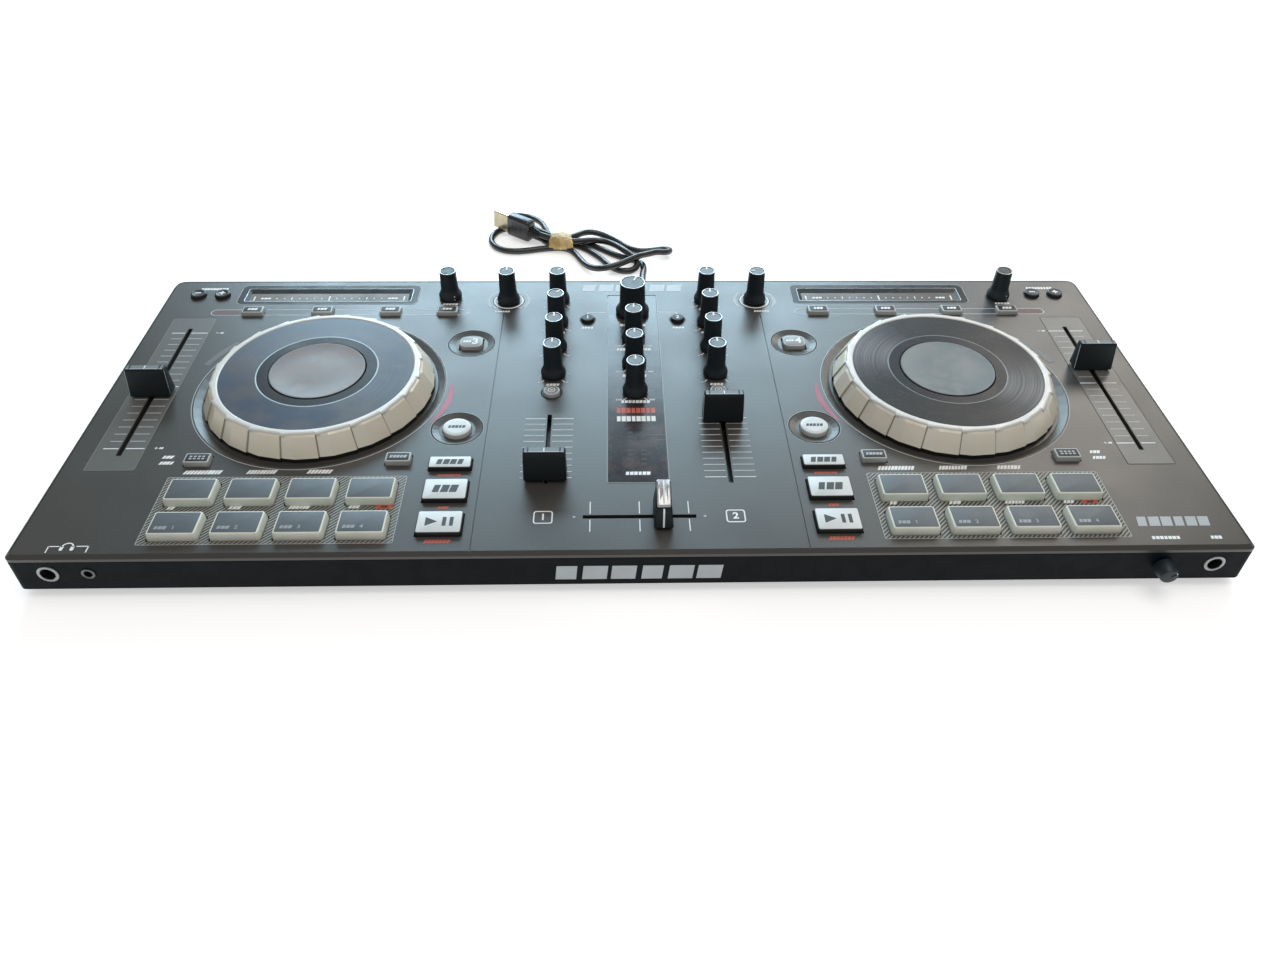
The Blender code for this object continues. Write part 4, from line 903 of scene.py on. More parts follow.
# ---------------------------------------------------------------- faders
def make_fader(node):
    """A tall leaning cap over a thin stem."""
    low, high = box(node)
    x, y, _ = middle(node)
    top, base = high.z, PANEL + 1.0
    piece = Piece(node + "_cap", node, "fader_black", (node,))
    piece.slab(rounded(1.2, 4.0, 0.3, 3, x, y), low.z, base + 1, STEM)
    sections = []
    for along, wide, deep, lean, radius in ((0.0, 19.6, 8.2, 0, 0.5), (0.03, 20.2, 8.8, 0, 0.8),
                                            (0.2, 20.1, 8.0, 0.1, 0.8),
                                            (0.5, 19.9, 6.6, 0.35, 0.7),
                                            (0.85, 19.7, 5.1, 0.6, 0.7),
                                            (0.95, 19.6, 4.8, 0.68, 0.7),
                                            (0.99, 19.0, 4.2, 0.7, 0.6),
                                            (1.0, 18.4, 3.6, 0.7, 0.5)):
        sections.append((rounded(wide, deep, radius, 4, x, y + lean),
                         base + (top - 0.2 - base) * along))
    piece.loft(sections, BLACK)
    strip_y = y + 0.7
    piece.slab(rounded(18.2, 2.9, 0.5, 3, x, strip_y), top - 0.3, top - 0.03, CAP_GREY)
    for end in (-1, 1):
        piece.slab(rounded(0.7, 3.2, 0.2, 3, x + end * 7.4, strip_y), top - 0.25, top, BLACK)
    piece.slab(rounded(0.5, 2.8, 0.1, 2, x, strip_y), top - 0.3, top, PRINT)
    # painted highlights: narrow light strips down both ends of the front face
    for end in (-1, 1):
        rings = []
        for along, half, lean in ((0.05, 4.3, 0.0), (0.5, 3.3, 0.35), (0.93, 2.45, 0.65)):
            z = base + (top - base) * along
            x0 = x + end * (10.06 - 0.25 * along)
            y0 = y + lean - half + 0.6
            rings.append([(x0 - 0.2, y0, z), (x0 + 0.03, y0, z), (x0 + 0.03, y0 + 0.35, z),
                          (x0 - 0.2, y0 + 0.35, z)])
        piece.skin(rings, EDGE_PAINTED_HIGHLIGHT)
    # painted highlight along the front edge of the cap's top
    piece.slab(rounded(18.2, 0.35, 0.1, 2, x, strip_y - 1.5), top - 0.25, top - 0.01, EDGE_PAINTED_HIGHLIGHT)
    piece.done()


def make_crossfader():
    node = "crossfader"
    low, high = box(node)
    x, y, _ = middle(node)
    top, base = high.z, PANEL + 1.0
    piece = Piece(node + "_cap", node, "fader_black", (node,))
    piece.slab(rounded(4.0, 1.2, 0.3, 3, x, y), low.z, base + 1, STEM)
    sections = []
    for along, wide, deep, lean in ((0.0, 8.1, 17.2, 0), (0.03, 8.7, 17.8, 0),
                                    (0.3, 8.0, 16.2, 0.3), (0.55, 7.2, 15.0, 0.6),
                                    (0.64, 6.9, 14.4, 0.9)):
        sections.append((rounded(wide, deep, 0.8, 4, x, y + lean), base + (top - base) * along))
    piece.loft(sections, BLACK)

    def crown_height(py, drop):
        """The crown is level behind and slopes down towards the player in front."""
        return top - drop - 0.62 * max(0.0, y + 0.6 - py)

    rings = []
    for wide, deep, drop in ((6.9, 14.4, 1.6), (6.2, 13.4, 0.9), (5.9, 12.9, 0.3),
                             (5.4, 12.4, 0.15)):
        outline = rounded(wide, deep, 0.8, 4, x, y + 0.9)
        rings.append([(px, py, crown_height(py, drop)) for px, py in outline])
    piece.skin(rings, [BLACK, CHROME, CHROME, CHROME])
    for across, width, finish in ((-2.1, 0.6, CHROME), (0, 0.7, PRINT), (2.1, 0.6, CHROME)):
        bars = []
        for py in (y + 6.6, y + 3.6, y + 0.6, y - 2.0, y - 4.9):
            low, high = crown_height(py, 0.5), crown_height(py, 0.0)
            bars.append([(x + across - width / 2, py, low), (x + across + width / 2, py, low),
                         (x + across + width / 2, py, high), (x + across - width / 2, py, high)])
        piece.skin(bars, finish)
    line = []
    for front, height in ((-9.1, 0.8), (-8.0, 4.5), (-7.1, 8.25), (-6.5, 9.6)):
        line.append([(x - 0.4, y + front, base + height), (x + 0.4, y + front, base + height),
                     (x + 0.4, y + front + 0.6, base + height),
                     (x - 0.4, y + front + 0.6, base + height)])
    piece.skin(line, PRINT)
    piece.done()


for fader_side, _ in SIDES:
    make_fader("pitch_fader_" + fader_side)
    make_fader("channel_fader_" + fader_side)
make_crossfader()


# ---------------------------------------------------------------- keys
FLANGE = 1.3


def key_start(node, name, slot):
    """A key's piece, its centre, and its size without the flange that keeps it in the case."""
    low, high = box(node)
    x, y, _ = middle(node)
    piece = Piece(name, node, slot, (node,))
    return piece, x, y, high.x - low.x - 2 * FLANGE, high.y - low.y - 2 * FLANGE, low.z, high.z


def square_key(node, slot, side_finish, face_finish, radius, edge, inset, marks=None):
    piece, x, y, width, depth, low, high = key_start(node, node + "_cap", slot)
    piece.slab(rounded(width + 2 * FLANGE, depth + 2 * FLANGE, radius + 1, 4, x, y), low,
               low + 1.0, side_finish)
    piece.key(x, y, width, depth, radius, low + 1.0, high - 0.12, edge, side_finish)
    piece.key(x, y, width - 2 * inset, depth - 2 * inset, max(radius - inset, 0.4),
              high - 0.9, high - 0.02, 0.25, face_finish)
    if marks:
        marks(piece, x, y, high - 0.03)
    piece.done()


def round_key(node, slot, side_finish, face_finish, edge, inset, marks=None):
    piece, x, y, width, _, low, high = key_start(node, node + "_cap", slot)
    r = width / 2
    rise = high - low
    piece.turn(((r + FLANGE, 0), (r + FLANGE, 1), (r, 1), (r, rise - edge - 0.1),
                (r - 0.3 * edge, rise - 0.35 * edge - 0.1), (r - edge, rise - 0.1),
                (r - inset, rise - 0.1), (r - inset - 0.1, rise - 0.02), (r * 0.3, rise - 0.02)),
               (x, y, low), [side_finish] * 7 + [face_finish] * 2, 48)
    if marks:
        marks(piece, x, y, high - 0.03)
    piece.done()


def words(count, width, height, finish):
    """A row of small blocks standing for a printed word."""
    def draw(piece, x, y, z):
        piece.blocks(x, y, width, height, finish, count, 0.1, z)
    return draw


def play_icon(piece, x, y, z):
    low, high = z - 0.1, z + 0.03
    piece.slab([(x - 6.2, y - 2.8), (x - 0.8, y), (x - 6.2, y + 2.8)], low, high, PRINT_DARK)
    for shift in (2.2, 5.4):
        piece.slab(rounded(1.7, 5.6, 0.1, 2, x + shift, y), low, high, PRINT_DARK)


def small_grid(piece, x, y, z):
    for row in (-1, 1):
        for i in range(4):
            spot = rounded(1.3, 1.0, 0.15, 2, x - 3 + 2 * i, y + 0.8 * row)
            piece.slab(spot, z - 0.1, z + 0.03, PRINT_DIM)


def ring_icon(piece, x, y, z):
    piece.ring(1.5, 1.9, (x, y, z), -0.1, 0.03, PRINT, 32)
    piece.slab(rounded(1.5, 0.7, 0.2, 3, x, y), z - 0.1, z + 0.03, PRINT)


def digit(number, size=6.0):
    def draw(piece, x, y, z):
        piece.text(str(number), x, y, size, z, PRINT)
    return draw


def deck_face_mark(number):
    def draw(piece, x, y, z):
        piece.blocks(x - 2.4, y, 4.4, 1.5, PRINT, 3, 0.1, z)
        piece.text(str(number), x + 2.2, y, 7.4, z, PRINT)
    return draw


for key_side, _ in SIDES:
    square_key("sync_button_" + key_side, "key_silver", BUTTON, KEY_WHITE, 1.1, 0.5, 0.35,
               words(4, 13.2, 3.6, PRINT_DARK))
    square_key("cue_button_" + key_side, "key_silver", BUTTON, KEY_WHITE, 1.2, 0.5, 0.35,
               words(3, 12.0, 4.9, PRINT_DARK))
    square_key("play_button_" + key_side, "key_silver", BUTTON, KEY_WHITE, 1.2, 0.5, 0.35,
               play_icon)
    square_key("wheel_button_" + key_side, "key_frosted", FROST, FROST_DARK, 0.9, 0.5, 0.8,
               words(5, 8.2, 1.8, PRINT_DIM))
    square_key("pad_mode_button_" + key_side, "key_frosted", FROST, FROST_DARK, 0.9, 0.5, 0.8,
               small_grid)
    round_key("shift_button_" + key_side, "key_silver", KEY_WHITE, KEY_WHITE, 0.6, 1.6,
              words(5, 8.6, 2.0, PRINT_DARK))
    round_key("load_button_" + key_side, "key_black", BUTTON, FROST_DARK, 0.4, 0.8,
              digit(1 if key_side == "left" else 2, 4.2))
    round_key("pfl_button_" + key_side, "key_frosted", FROST, DECK_FACE, 0.5, 0.8, ring_icon)
    square_key("deck_button_" + key_side, "key_frosted", FROST, DECK_FACE, 3.6, 0.5, 0.9,
               deck_face_mark(3 if key_side == "left" else 4))


# ---------------------------------------------------------------- pads and key strips
PAD_XS = (122.4, 149.5, 176.6, 203.7)
PAD_YS = (-76.2, -98.2)
PAD_SIZE = (21.8, 15.0)
PAD_CROWN = (20.6, 13.8)
FX_OFFSETS = (-54.6, -15.2, 23.6, 56.2)
FX_Y = 78.4
BEND_XS = (239.9, 253.8)
BEND_Y = 96.9


def sheet(piece, node, finish):
    """The sheet under the panel that carries a strip of keys."""
    low, high = box(node)
    piece.slab(rounded(high.x - low.x, high.y - low.y, 1.0, 4, (low.x + high.x) / 2,
                       (low.y + high.y) / 2), low.z, low.z + 1.0, finish)
    return low.z + 1.0, high.z


def make_pads(side, sign):
    node = "pad_mat_" + side
    piece = Piece("pads_" + side, node, "pad_silicone", (node,))
    base, top = sheet(piece, node, PAD_SIDE)
    for row, y in enumerate(PAD_YS):
        for i, pad_x in enumerate(PAD_XS):
            x = sign * pad_x
            sections = [(rounded(*PAD_SIZE, 1.3, 5, x, y), base),
                        (rounded(*PAD_SIZE, 1.3, 5, x, y), PANEL + 0.3)]
            for inset, drop in ((0.0, 0.7), (0.1, 0.35), (0.3, 0.12), (0.55, 0.05)):
                sections.append((rounded(PAD_CROWN[0] + 0.5 - 2 * inset,
                                         PAD_CROWN[1] + 0.5 - 2 * inset, 1.2 - 0.4 * inset, 5,
                                         x, y), top - drop))
            piece.loft(sections, PAD_SIDE)
            wide, deep = PAD_CROWN[0] - 1.0, PAD_CROWN[1] - 1.0
            piece.key(x, y, wide, deep, 0.7, top - 0.6, top - 0.01, 0.15, PAD_FACE)
            if row:
                number = i + 1 if sign > 0 else len(PAD_XS) - i
                piece.blocks(x - 5.2, y - 3.2, 5.6, 1.9, PAD_MARK, 3, 0.1, top - 0.05)
                piece.text(str(number), x + 0.4, y - 3.2, 2.9, top - 0.02, PAD_MARK, 0.02)
    piece.done()


def make_fx_keys(side):
    node = "fx_keys_" + side
    jog_x = middle("jog_wheel_" + side).x
    piece = Piece("fx_row_" + side, node, "key_frosted", (node,))
    base, top = sheet(piece, node, FROST)
    for offset in FX_OFFSETS:
        x = jog_x + offset
        piece.key(x, FX_Y, 11.8, 7.0, 0.9, base, top - 0.1, 0.5, FROST)
        piece.key(x, FX_Y, 10.1, 5.3, 0.5, top - 0.8, top - 0.02, 0.2, FROST_DARK)
        piece.blocks(x, FX_Y, 5.6, 2.0, PRINT, 3, 0.12, top - 0.04)
    piece.done()


def make_bend_keys(side, sign):
    node = "pitch_bend_keys_" + side
    piece = Piece("pitch_bend_" + side, node, "key_black", (node,))
    base, top = sheet(piece, node, BUTTON)
    rise = top - base
    for bend_x in BEND_XS:
        x = sign * bend_x
        piece.turn(((4.3, 0), (4.3, rise - 0.6), (4.15, rise - 0.2), (3.7, rise), (3.3, rise),
                    (3.0, rise - 0.15), (1.0, rise - 0.15)), (x, BEND_Y, base), BUTTON, 40)
        piece.slab(rounded(3.6, 0.9, 0.15, 2, x, BEND_Y), top - 0.2, top - 0.02, PRINT)
        if x > sign * sum(BEND_XS) / 2:
            piece.slab(rounded(0.9, 3.6, 0.15, 2, x, BEND_Y), top - 0.2, top - 0.03, PRINT)
    piece.done()


for strip_side, strip_sign in SIDES:
    make_pads(strip_side, strip_sign)
    make_fx_keys(strip_side)
    make_bend_keys(strip_side, strip_sign)


# ---------------------------------------------------------------- deck prints
def frame_plate(piece, outer, inner, low, high, finish):
    """A flat frame between two outlines with the same number of points."""
    levels = ((outer, low), (outer, high), (inner, high), (inner, low))
    piece.skin([[(x, y, z) for x, y in outline] for outline, z in levels], finish, loop=True)


def make_bezel(side, sign):
    """The hatched field round the pads, with a hole for each pad and a light border."""
    middle_x, middle_y, wide, deep = sign * 163.45, -86.05, 110.3, 43.7
    piece = Piece("pad_bezel_" + side)
    piece.slab(rounded(wide, deep, 0.8, 3, middle_x, middle_y), PRINT_LOW, PRINT_HIGH, HATCH)
    holes = Piece("pad_holes")
    for y in PAD_YS:
        for pad_x in PAD_XS:
            holes.slab(rounded(PAD_SIZE[0] + 1.2, PAD_SIZE[1] + 1.2, 1.6, 4, sign * pad_x, y),
                       PRINT_LOW - 1, PRINT_HIGH + 1, HATCH)
    piece.cut(holes)
    holes.bm.free()
    frame_plate(piece, rounded(wide + 0.5, deep + 0.5, 1.0, 3, middle_x, middle_y),
                rounded(wide, deep, 0.8, 3, middle_x, middle_y), PRINT_LOW, PRINT_HIGH + 0.02,
                PRINT_DIM)
    row_y = -84.9
    offsets = (-210.8, -182.2, -153.5, -128.9) if sign < 0 else (116.6, 145.2, 173.0, 198.1)
    for x, width, count in zip(offsets, (3.4, 5.6, 9.2, 5.0), (2, 3, 6, 3)):
        piece.blocks(x, row_y, width, 2.0, PRINT, count, 0.2, PRINT_HIGH)
    x = -115.4 if sign < 0 else 208.0
    piece.slab(rounded(7.4, 2.7, 0.3, 3, x, row_y), PRINT_HIGH - 0.02, PRINT_HIGH + 0.03,
               PRINT_RED)
    piece.blocks(x, row_y, 3.2, 1.4, PRINT_DARK, 2, 0.2, PRINT_HIGH + 0.02)
    piece.done()


def make_pitch_plate(side, sign):
    """The lighter plate round the pitch fader's slot, its ticks and its signs."""
    x, y, wide, deep = sign * 248.15, 6.6, 23.1, 130.4
    slot_x, slot_y, slot_wide, slot_deep = sign * 247.5, 6.75, 3.0, 110.3
    piece = Piece("pitch_plate_" + side)
    piece.slab(rounded(wide, deep, 0.8, 3, x, y), PRINT_LOW, PRINT_HIGH, PITCH_PAINT)
    hole = Piece("slot_hole")
    hole.slab(rounded(slot_wide, slot_deep, 0.4, 3, slot_x, slot_y), PRINT_LOW - 1,
              PRINT_HIGH + 1, HATCH)
    piece.cut(hole)
    hole.bm.free()
    # The plate's edge is the lighter plate_edge on the left deck and black on the right: lit and shaded
    # copies of one edge, painted highlight and painted shade.
    frame_plate(piece, rounded(wide + 0.5, deep + 0.5, 1.0, 3, x, y),
                rounded(wide, deep, 0.8, 3, x, y), PRINT_LOW, PRINT_HIGH + 0.03,
                PITCH_EDGE if side == "left" else BLACK_AND_PAINTED_GAP_SHADE)
    for i in range(19):
        tick_y = 57.2 - 5.56 * i
        bold = i in (0, 9, 18)
        half = 9.6 if bold else 8.4
        tick_x = sign * 246.7
        for end in (-1, 1):
            near = slot_x + end * 1.9
            far = tick_x + end * half
            piece.slab(stroke(near, tick_y, far, tick_y, 0.6 if bold else 0.4),
                       PRINT_HIGH - 0.03, PRINT_HIGH + 0.03, PRINT if bold else PRINT_SOFT)
    for mark_y in (57.4, -42.6):
        mark_x = sign * 231.5
        piece.mark(rounded(1.7, 0.4, 0.1, 2, mark_x, mark_y))
        piece.blocks(mark_x + 2.4, mark_y, 2.0, 1.3, PRINT, 2, 0.1)
    piece.mark(rounded(0.4, 1.7, 0.1, 2, sign * 231.5, -42.6))
    piece.done()


def make_touch_strip(side):
    """The glossy sunken strip with its marks, and its raised frame."""
    jog_x = middle("jog_wheel_" + side).x
    x0, x1, y0, y1 = jog_x - 63.8, jog_x + 33.5, 90.1, 104.6
    x, y = (x0 + x1) / 2, (y0 + y1) / 2
    wide, deep, floor = x1 - x0 - 0.3, y1 - y0 - 0.3, PANEL - 1.15
    piece = Piece("touch_strip_" + side)
    frame_plate(piece, rounded(wide + 7.4, deep + 6.4, 3.4, 6, x, y + 0.3),
                rounded(wide + 0.3, deep + 0.3, 1.2, 6, x, y), PRINT_LOW, PRINT_HIGH + 0.04, GLOSS)
    frame_plate(piece, rounded(wide + 8.0, deep + 7.0, 3.7, 6, x, y + 0.3),
                rounded(wide + 7.4, deep + 6.4, 3.4, 6, x, y + 0.3), PRINT_LOW,
                PRINT_HIGH + 0.06, PRINT_DIM)
    rings = [(rounded(wide, deep, 1.2, 6, x, y), floor - 0.05),
             (rounded(wide, deep, 1.2, 6, x, y), PRINT_HIGH),
             (rounded(wide - 0.7, deep - 0.7, 1.0, 6, x, y), PRINT_HIGH),
             (rounded(wide - 4.6, deep - 6.0, 0.8, 6, x, y - 0.9), floor + 0.15),
             (rounded(wide - 5.0, deep - 6.4, 0.8, 6, x, y - 0.9), floor + 0.15)]
    piece.skin([[(px, py, z) for px, py in outline] for outline, z in rings],
               [GLOSS, EDGE_SILVER, GLOSS, STRIP_BED, STRIP_BED])
    for i in range(21):
        mark_x = jog_x - 15.2 + 4.36 * (i - 10)
        big, medium = i in (0, 10, 20), i in (5, 15)
        tall = 4.6 if big else 2.8 if medium else 1.2
        width = 0.8 if big else 0.5 if medium else 0.6
        if i in (1, 2, 18, 19):
            continue
        piece.slab(rounded(width, tall, 0.15, 2, mark_x, 95.2), floor + 0.12, floor + 0.2,
                   PRINT)
    for end in (-1, 1):
        piece.blocks(jog_x - 15.2 + end * 37, 95.2, 6.0, 1.5, PRINT, 3, 0.1, floor + 0.18)
    piece.done()


WELL_RING_R = 63.8
CRESCENT_STEPS = 24
CRESCENT_SWEEP = 29
CRESCENT_BASE_R = 66.2
CRESCENT_THICK = 2.7
ARC_RIBS = 26
ARC_SWEEP = 20
DECK_SHIFT = 327.2


def key_ring(piece, node, groove_end, line_end):
    """Painted shade: a black ring where the groove round a key falls into shade, and the fine line
    beyond it.
    """
    x, y, _ = middle(node)
    piece.ring(12.3, groove_end, (x, y, PANEL), -0.03, 0.08, BLACK_AND_PAINTED_GAP_SHADE, 64)
    piece.ring(groove_end, line_end, (x, y, PANEL), -0.03, 0.06, PRINT_DIM, 64)


def make_deck_prints(side, sign):
    """The flat prints of one deck: rings, crescent, ribbed arc, pill line and label blocks; the black
    rings round the jog well and the keys are painted shade.
    """
    jog_x, jog_y, _ = middle("jog_wheel_" + side)
    centre = (jog_x, jog_y, PANEL)
    piece = Piece("deck_prints_and_painted_shade_" + side)
    # painted shade: a black ring where the jog well falls into shade, then its fine line
    piece.ring(63.5, WELL_RING_R, centre, -0.03, 0.07, BLACK_AND_PAINTED_GAP_SHADE, 120)
    piece.ring(WELL_RING_R, 64.3, centre, -0.03, 0.07, PRINT_DIM, 120)
    # the tapering crescent by the shift key
    outline, back = [], []
    for i in range(CRESCENT_STEPS + 1):
        t = i / CRESCENT_STEPS
        sweep = CRESCENT_SWEEP * t
        angle = math.radians((177 + sweep) if sign > 0 else (3 - sweep))
        thick = CRESCENT_THICK * math.sin(math.pi * (0.06 + 0.9 * t)) ** 0.8
        ray = Vector((math.cos(angle), math.sin(angle)))
        outline.append(centre_at(jog_x, jog_y, ray, 66.3 + thick))
        back.append(centre_at(jog_x, jog_y, ray, CRESCENT_BASE_R))
    piece.mark(outline + back[::-1], PRINT_PINK)
    # the ribbed arc on the far outer side
    start = 142 if sign < 0 else 18
    piece.mark(sector(jog_x, jog_y, 66.9, 70.7, start, start + ARC_SWEEP), PITCH_PAINT)
    for i in range(ARC_RIBS):
        angle = math.radians(start + ARC_SWEEP * (i + 0.5) / ARC_RIBS)
        ray = Vector((math.cos(angle), math.sin(angle)))
        near, far = centre_at(jog_x, jog_y, ray, 67.2), centre_at(jog_x, jog_y, ray, 70.4)
        piece.slab(stroke(*near, *far, 0.4), PRINT_HIGH - 0.02, PRINT_HIGH + 0.1, PRINT_FAINT)
    # the long pill round the effect keys
    outer, inner = jog_x + sign * 78.8, jog_x - sign * 68.3
    x, wide = (outer + inner) / 2, abs(outer - inner)
    frame_plate(piece, rounded(wide, 6.2, 3.1, 6, x, FX_Y),
                rounded(wide - 0.9, 5.3, 2.65, 6, x, FX_Y), PRINT_LOW, PRINT_HIGH, PRINT_SOFT)
    piece.mark(rounded(14.5, 4.6, 2.3, 6, outer - sign * 8.5, FX_Y), PRINT_ROSE)
    # rings round the shift and deck keys
    key_ring(piece, "shift_button_" + side, 13.0, 13.3)
    key_ring(piece, "deck_button_" + side, 12.9, 13.2)
    # labels
    shift = 0 if sign < 0 else DECK_SHIFT
    for x, width, count in ((-203.9, 17.5, 11), (-176.5, 13.6, 9), (-149.5, 11.5, 7)):
        piece.blocks(x + shift, -60.5, width, 2.7, PRINT, count, 0.2)
    mode_x = sign * 223.6
    piece.blocks(mode_x, -49.4, 5.2, 2.1, PRINT, 3, 0.2)
    piece.blocks(mode_x + 0.6, -53.7, 6.6, 2.1, PRINT, 4, 0.2)
    key_x = sign * 88.9
    piece.blocks(key_x, -63.6, 11, 1.5, PRINT_RED, 8, 0.2)
    piece.blocks(key_x, -85.8, 5, 1.7, PRINT_RED, 3, 0.2)
    piece.blocks(key_x, -107.3, 11.5, 2.2, PRINT_RED, 7, 0.2)
    piece.blocks(sign * 246.8, 104.2, 16, 2.2, PRINT, 9, 0.1)
    knob = middle("beats_knob_" + side)
    piece.blocks(knob.x + 0.6, knob.y - 7.8, 9.0, 1.8, PRINT, 5, 0.1)
    piece.done()


def centre_at(x, y, ray, distance):
    return (x + ray.x * distance, y + ray.y * distance)


for deck_side, deck_sign in SIDES:
    make_bezel(deck_side, deck_sign)
    make_pitch_plate(deck_side, deck_sign)
    make_touch_strip(deck_side)
    make_deck_prints(deck_side, deck_sign)


# ---------------------------------------------------------------- mixer prints
def make_centre_window():
    """The glossy strip down the middle, with holes for the four knobs and the meter marks."""
    low_y, high_y, wide = -69.5, 96.7, 28.2
    y = (low_y + high_y) / 2
    floor = PANEL - 0.4
    piece = Piece("centre_window")
    piece.slab(rounded(wide, high_y - low_y - 0.4, 0.8, 3, 0, y), floor + 0.02, floor + 0.3, METER)
    holes = Piece("window_holes")
    for node in ("browse_knob", "master_gain_knob", "cue_mix_knob", "cue_gain_knob"):
        spot = middle(node)
        holes.slab(circle(4.2, spot.x, spot.y, 40), floor - 1, floor + 2, METER)
    piece.cut(holes)
    holes.bm.free()
    frame_plate(piece, rounded(wide + 1.4, high_y - low_y + 1.0, 1.2, 4, 0, y),
                rounded(wide + 0.5, high_y - low_y + 0.1, 0.8, 4, 0, y), PRINT_LOW,
                PRINT_HIGH + 0.04, PITCH_EDGE)
    top = floor + 0.3
    for label_y, width, count in ((64.5, 15, 7), (40.2, 19, 11), (15.5, 13, 7), (-7.2, 15, 8),
                                  (-63, 12, 6)):
        piece.blocks(0, label_y, width, 2.3, PRINT, count, 0.05, top)
    for node in ("master_gain_knob", "cue_mix_knob", "cue_gain_knob"):
        spot = middle(node)
        for end in (-1, 1):
            ray = Vector((end * math.sin(math.radians(140)), math.cos(math.radians(140))))
            piece.slab(stroke(*centre_at(spot.x, spot.y, ray, 7.4),
                              *centre_at(spot.x, spot.y, ray, 9.4), 0.5), top - 0.05,
                       top + 0.05, PRINT)
            piece.blocks(spot.x + end * 8.6, spot.y - 7.0, 3.2, 1.1, PRINT_SOFT, 3, 0.05, top)
    piece.blocks(0, -14.6, 20, 4.2, PRINT_RED, 8, 0.0, top)
    piece.blocks(0, -21.4, 20, 4.2, PRINT, 8, 0.0, top)
    for column in (-1, 1):
        for i in range(9):
            lamp = rounded(2.6, 1.5, 0.3, 3, column * 3.2, -29.0 - 3.4 * i)
            piece.slab(lamp, top - 0.05, top + 0.04, METER_LAMP)
    piece.done()


def make_mixer_prints():
    piece = Piece("mixer_prints_and_painted_shade")
    for side, sign in SIDES:
        x, y = sign * 43.4, -92.6
        frame_plate(piece, rounded(8.8, 8.2, 1.4, 4, x, y), rounded(7.6, 7.0, 0.9, 4, x, y),
                    PRINT_LOW, PRINT_HIGH, PRINT)
        piece.text("1" if sign < 0 else "2", x, y, 5.6, PRINT_LOW + 0.1, PRINT)
        fader_x = sign * 43.5
        for i in range(11):
            tick_y = -21.2 - 4.48 * i
            for end in (-1, 1):
                near, far = fader_x + end * 2.0, fader_x + end * 12.0
                piece.mark(stroke(near, tick_y, far, tick_y, 0.45 if i in (0, 10) else 0.3),
                           PRINT)
        for kind, width in (("level", 9.5), ("treble", 10.5), ("mid", 5.5), ("bass", 8)):
            knob = middle(kind + "_knob_" + side)
            piece.blocks(knob.x, knob.y - 9.6, width * 0.9, 1.8, PRINT, max(3, int(width * 0.6)), 0.1)
            knob_marks(piece, knob)
        knob = middle("filter_knob_" + side)
        piece.blocks(knob.x + sign * 3, knob.y - 11.6, 9, 1.6, PRINT, 6, 0.1)
        knob_marks(piece, knob)
        piece.ring(7.8, 8.8, (knob.x, knob.y, PANEL), -0.03, 0.12, PRINT, 64)
        piece.ring(8.8, 9.2, (knob.x, knob.y, PANEL), -0.03, 0.10, BLACK_AND_PAINTED_GAP_SHADE, 64)
        for start in (128, -38):
            piece.mark(sector(knob.x, knob.y, 10.9, 12.6, start, start + 90), PRINT_DIM)
        load = middle("load_button_" + side)
        # painted shade: a black ring in the gap round the load key
        piece.ring(4.1, 4.7, (load.x, load.y, PANEL), -0.03, 0.08, BLACK_AND_PAINTED_GAP_SHADE, 48)
        piece.blocks(load.x, load.y - 8.2, 7, 1.7, PRINT, 4, 0.1)
        piece.mark(stroke(load.x, load.y + 5.2, load.x, load.y + 7.8, 0.45))
        piece.mark(stroke(load.x, load.y + 7.8, sign * 15.4, load.y + 7.8, 0.45))
        cue = middle("pfl_button_" + side)
        # painted shade: a black ring in the gap round the cue key
        piece.ring(4.9, 5.7, (cue.x, cue.y, PANEL), -0.03, 0.08, BLACK_AND_PAINTED_GAP_SHADE, 48)
    cross_y = -92.5
    for x in (-22.3, 0, 22.3):
        for end, far in ((1, -82.8), (-1, -101.9)):
            piece.mark(stroke(x, cross_y + end * 2.0, x, far, 0.45), PRINT)
    for x in (-29.5, 29.5):
        piece.mark(rounded(1.2, 1.2, 0.3, 3, x, cross_y), PRINT_DIM)
    # the dark line just inside the rear and side edges
    plate_low, plate_high = box("top_case")
    left, right = plate_low.x + 2.3, plate_high.x - 2.3
    front, back = plate_low.y + 3.0, plate_high.y - 2.3
    turn = 4.0
    for x in (left, right):
        piece.mark(stroke(x, front, x, back - turn, 0.45), BLACK_AND_PAINTED_GAP_SHADE)
    piece.mark(stroke(left + turn, back, right - turn, back, 0.6), BLACK_AND_PAINTED_GAP_SHADE)
    for x, start in ((left + turn, 90), (right - turn, 0)):
        piece.mark(sector(x, back - turn, turn - 0.25, turn + 0.25, start, start + 90, 10),
                   BLACK_AND_PAINTED_GAP_SHADE)
    # the plain name block at the back, and the headphone and microphone signs in front
    piece.blocks(0, 104.9, 61, 7.6, NAME_GREY, 6, 0.06)
    piece.blocks(241, -98.2, 34, 6.0, NAME_GREY, 6, 0.1)
    for points in (((-255.0, -112.0), (-255.0, -108.4), (-250.6, -108.4)),
                   ((-238.0, -112.0), (-238.0, -108.4), (-243.0, -108.4))):
        for (x0, y0), (x1, y1) in zip(points, points[1:]):
            piece.mark(stroke(x0, y0, x1, y1, 0.5))
    piece.mark(sector(-246.9, -108.9, 2.1, 2.7, 0, 180, 20))
    for end in (-1, 1):
        piece.mark(rounded(1.5, 2.7, 0.6, 4, -246.9 + end * 2.3, -109.6))
    piece.blocks(233.5, -108.6, 13, 1.9, PRINT, 7, 0.05)
    piece.blocks(256.2, -108.6, 5.2, 1.9, PRINT, 3, 0.05)
    piece.done()


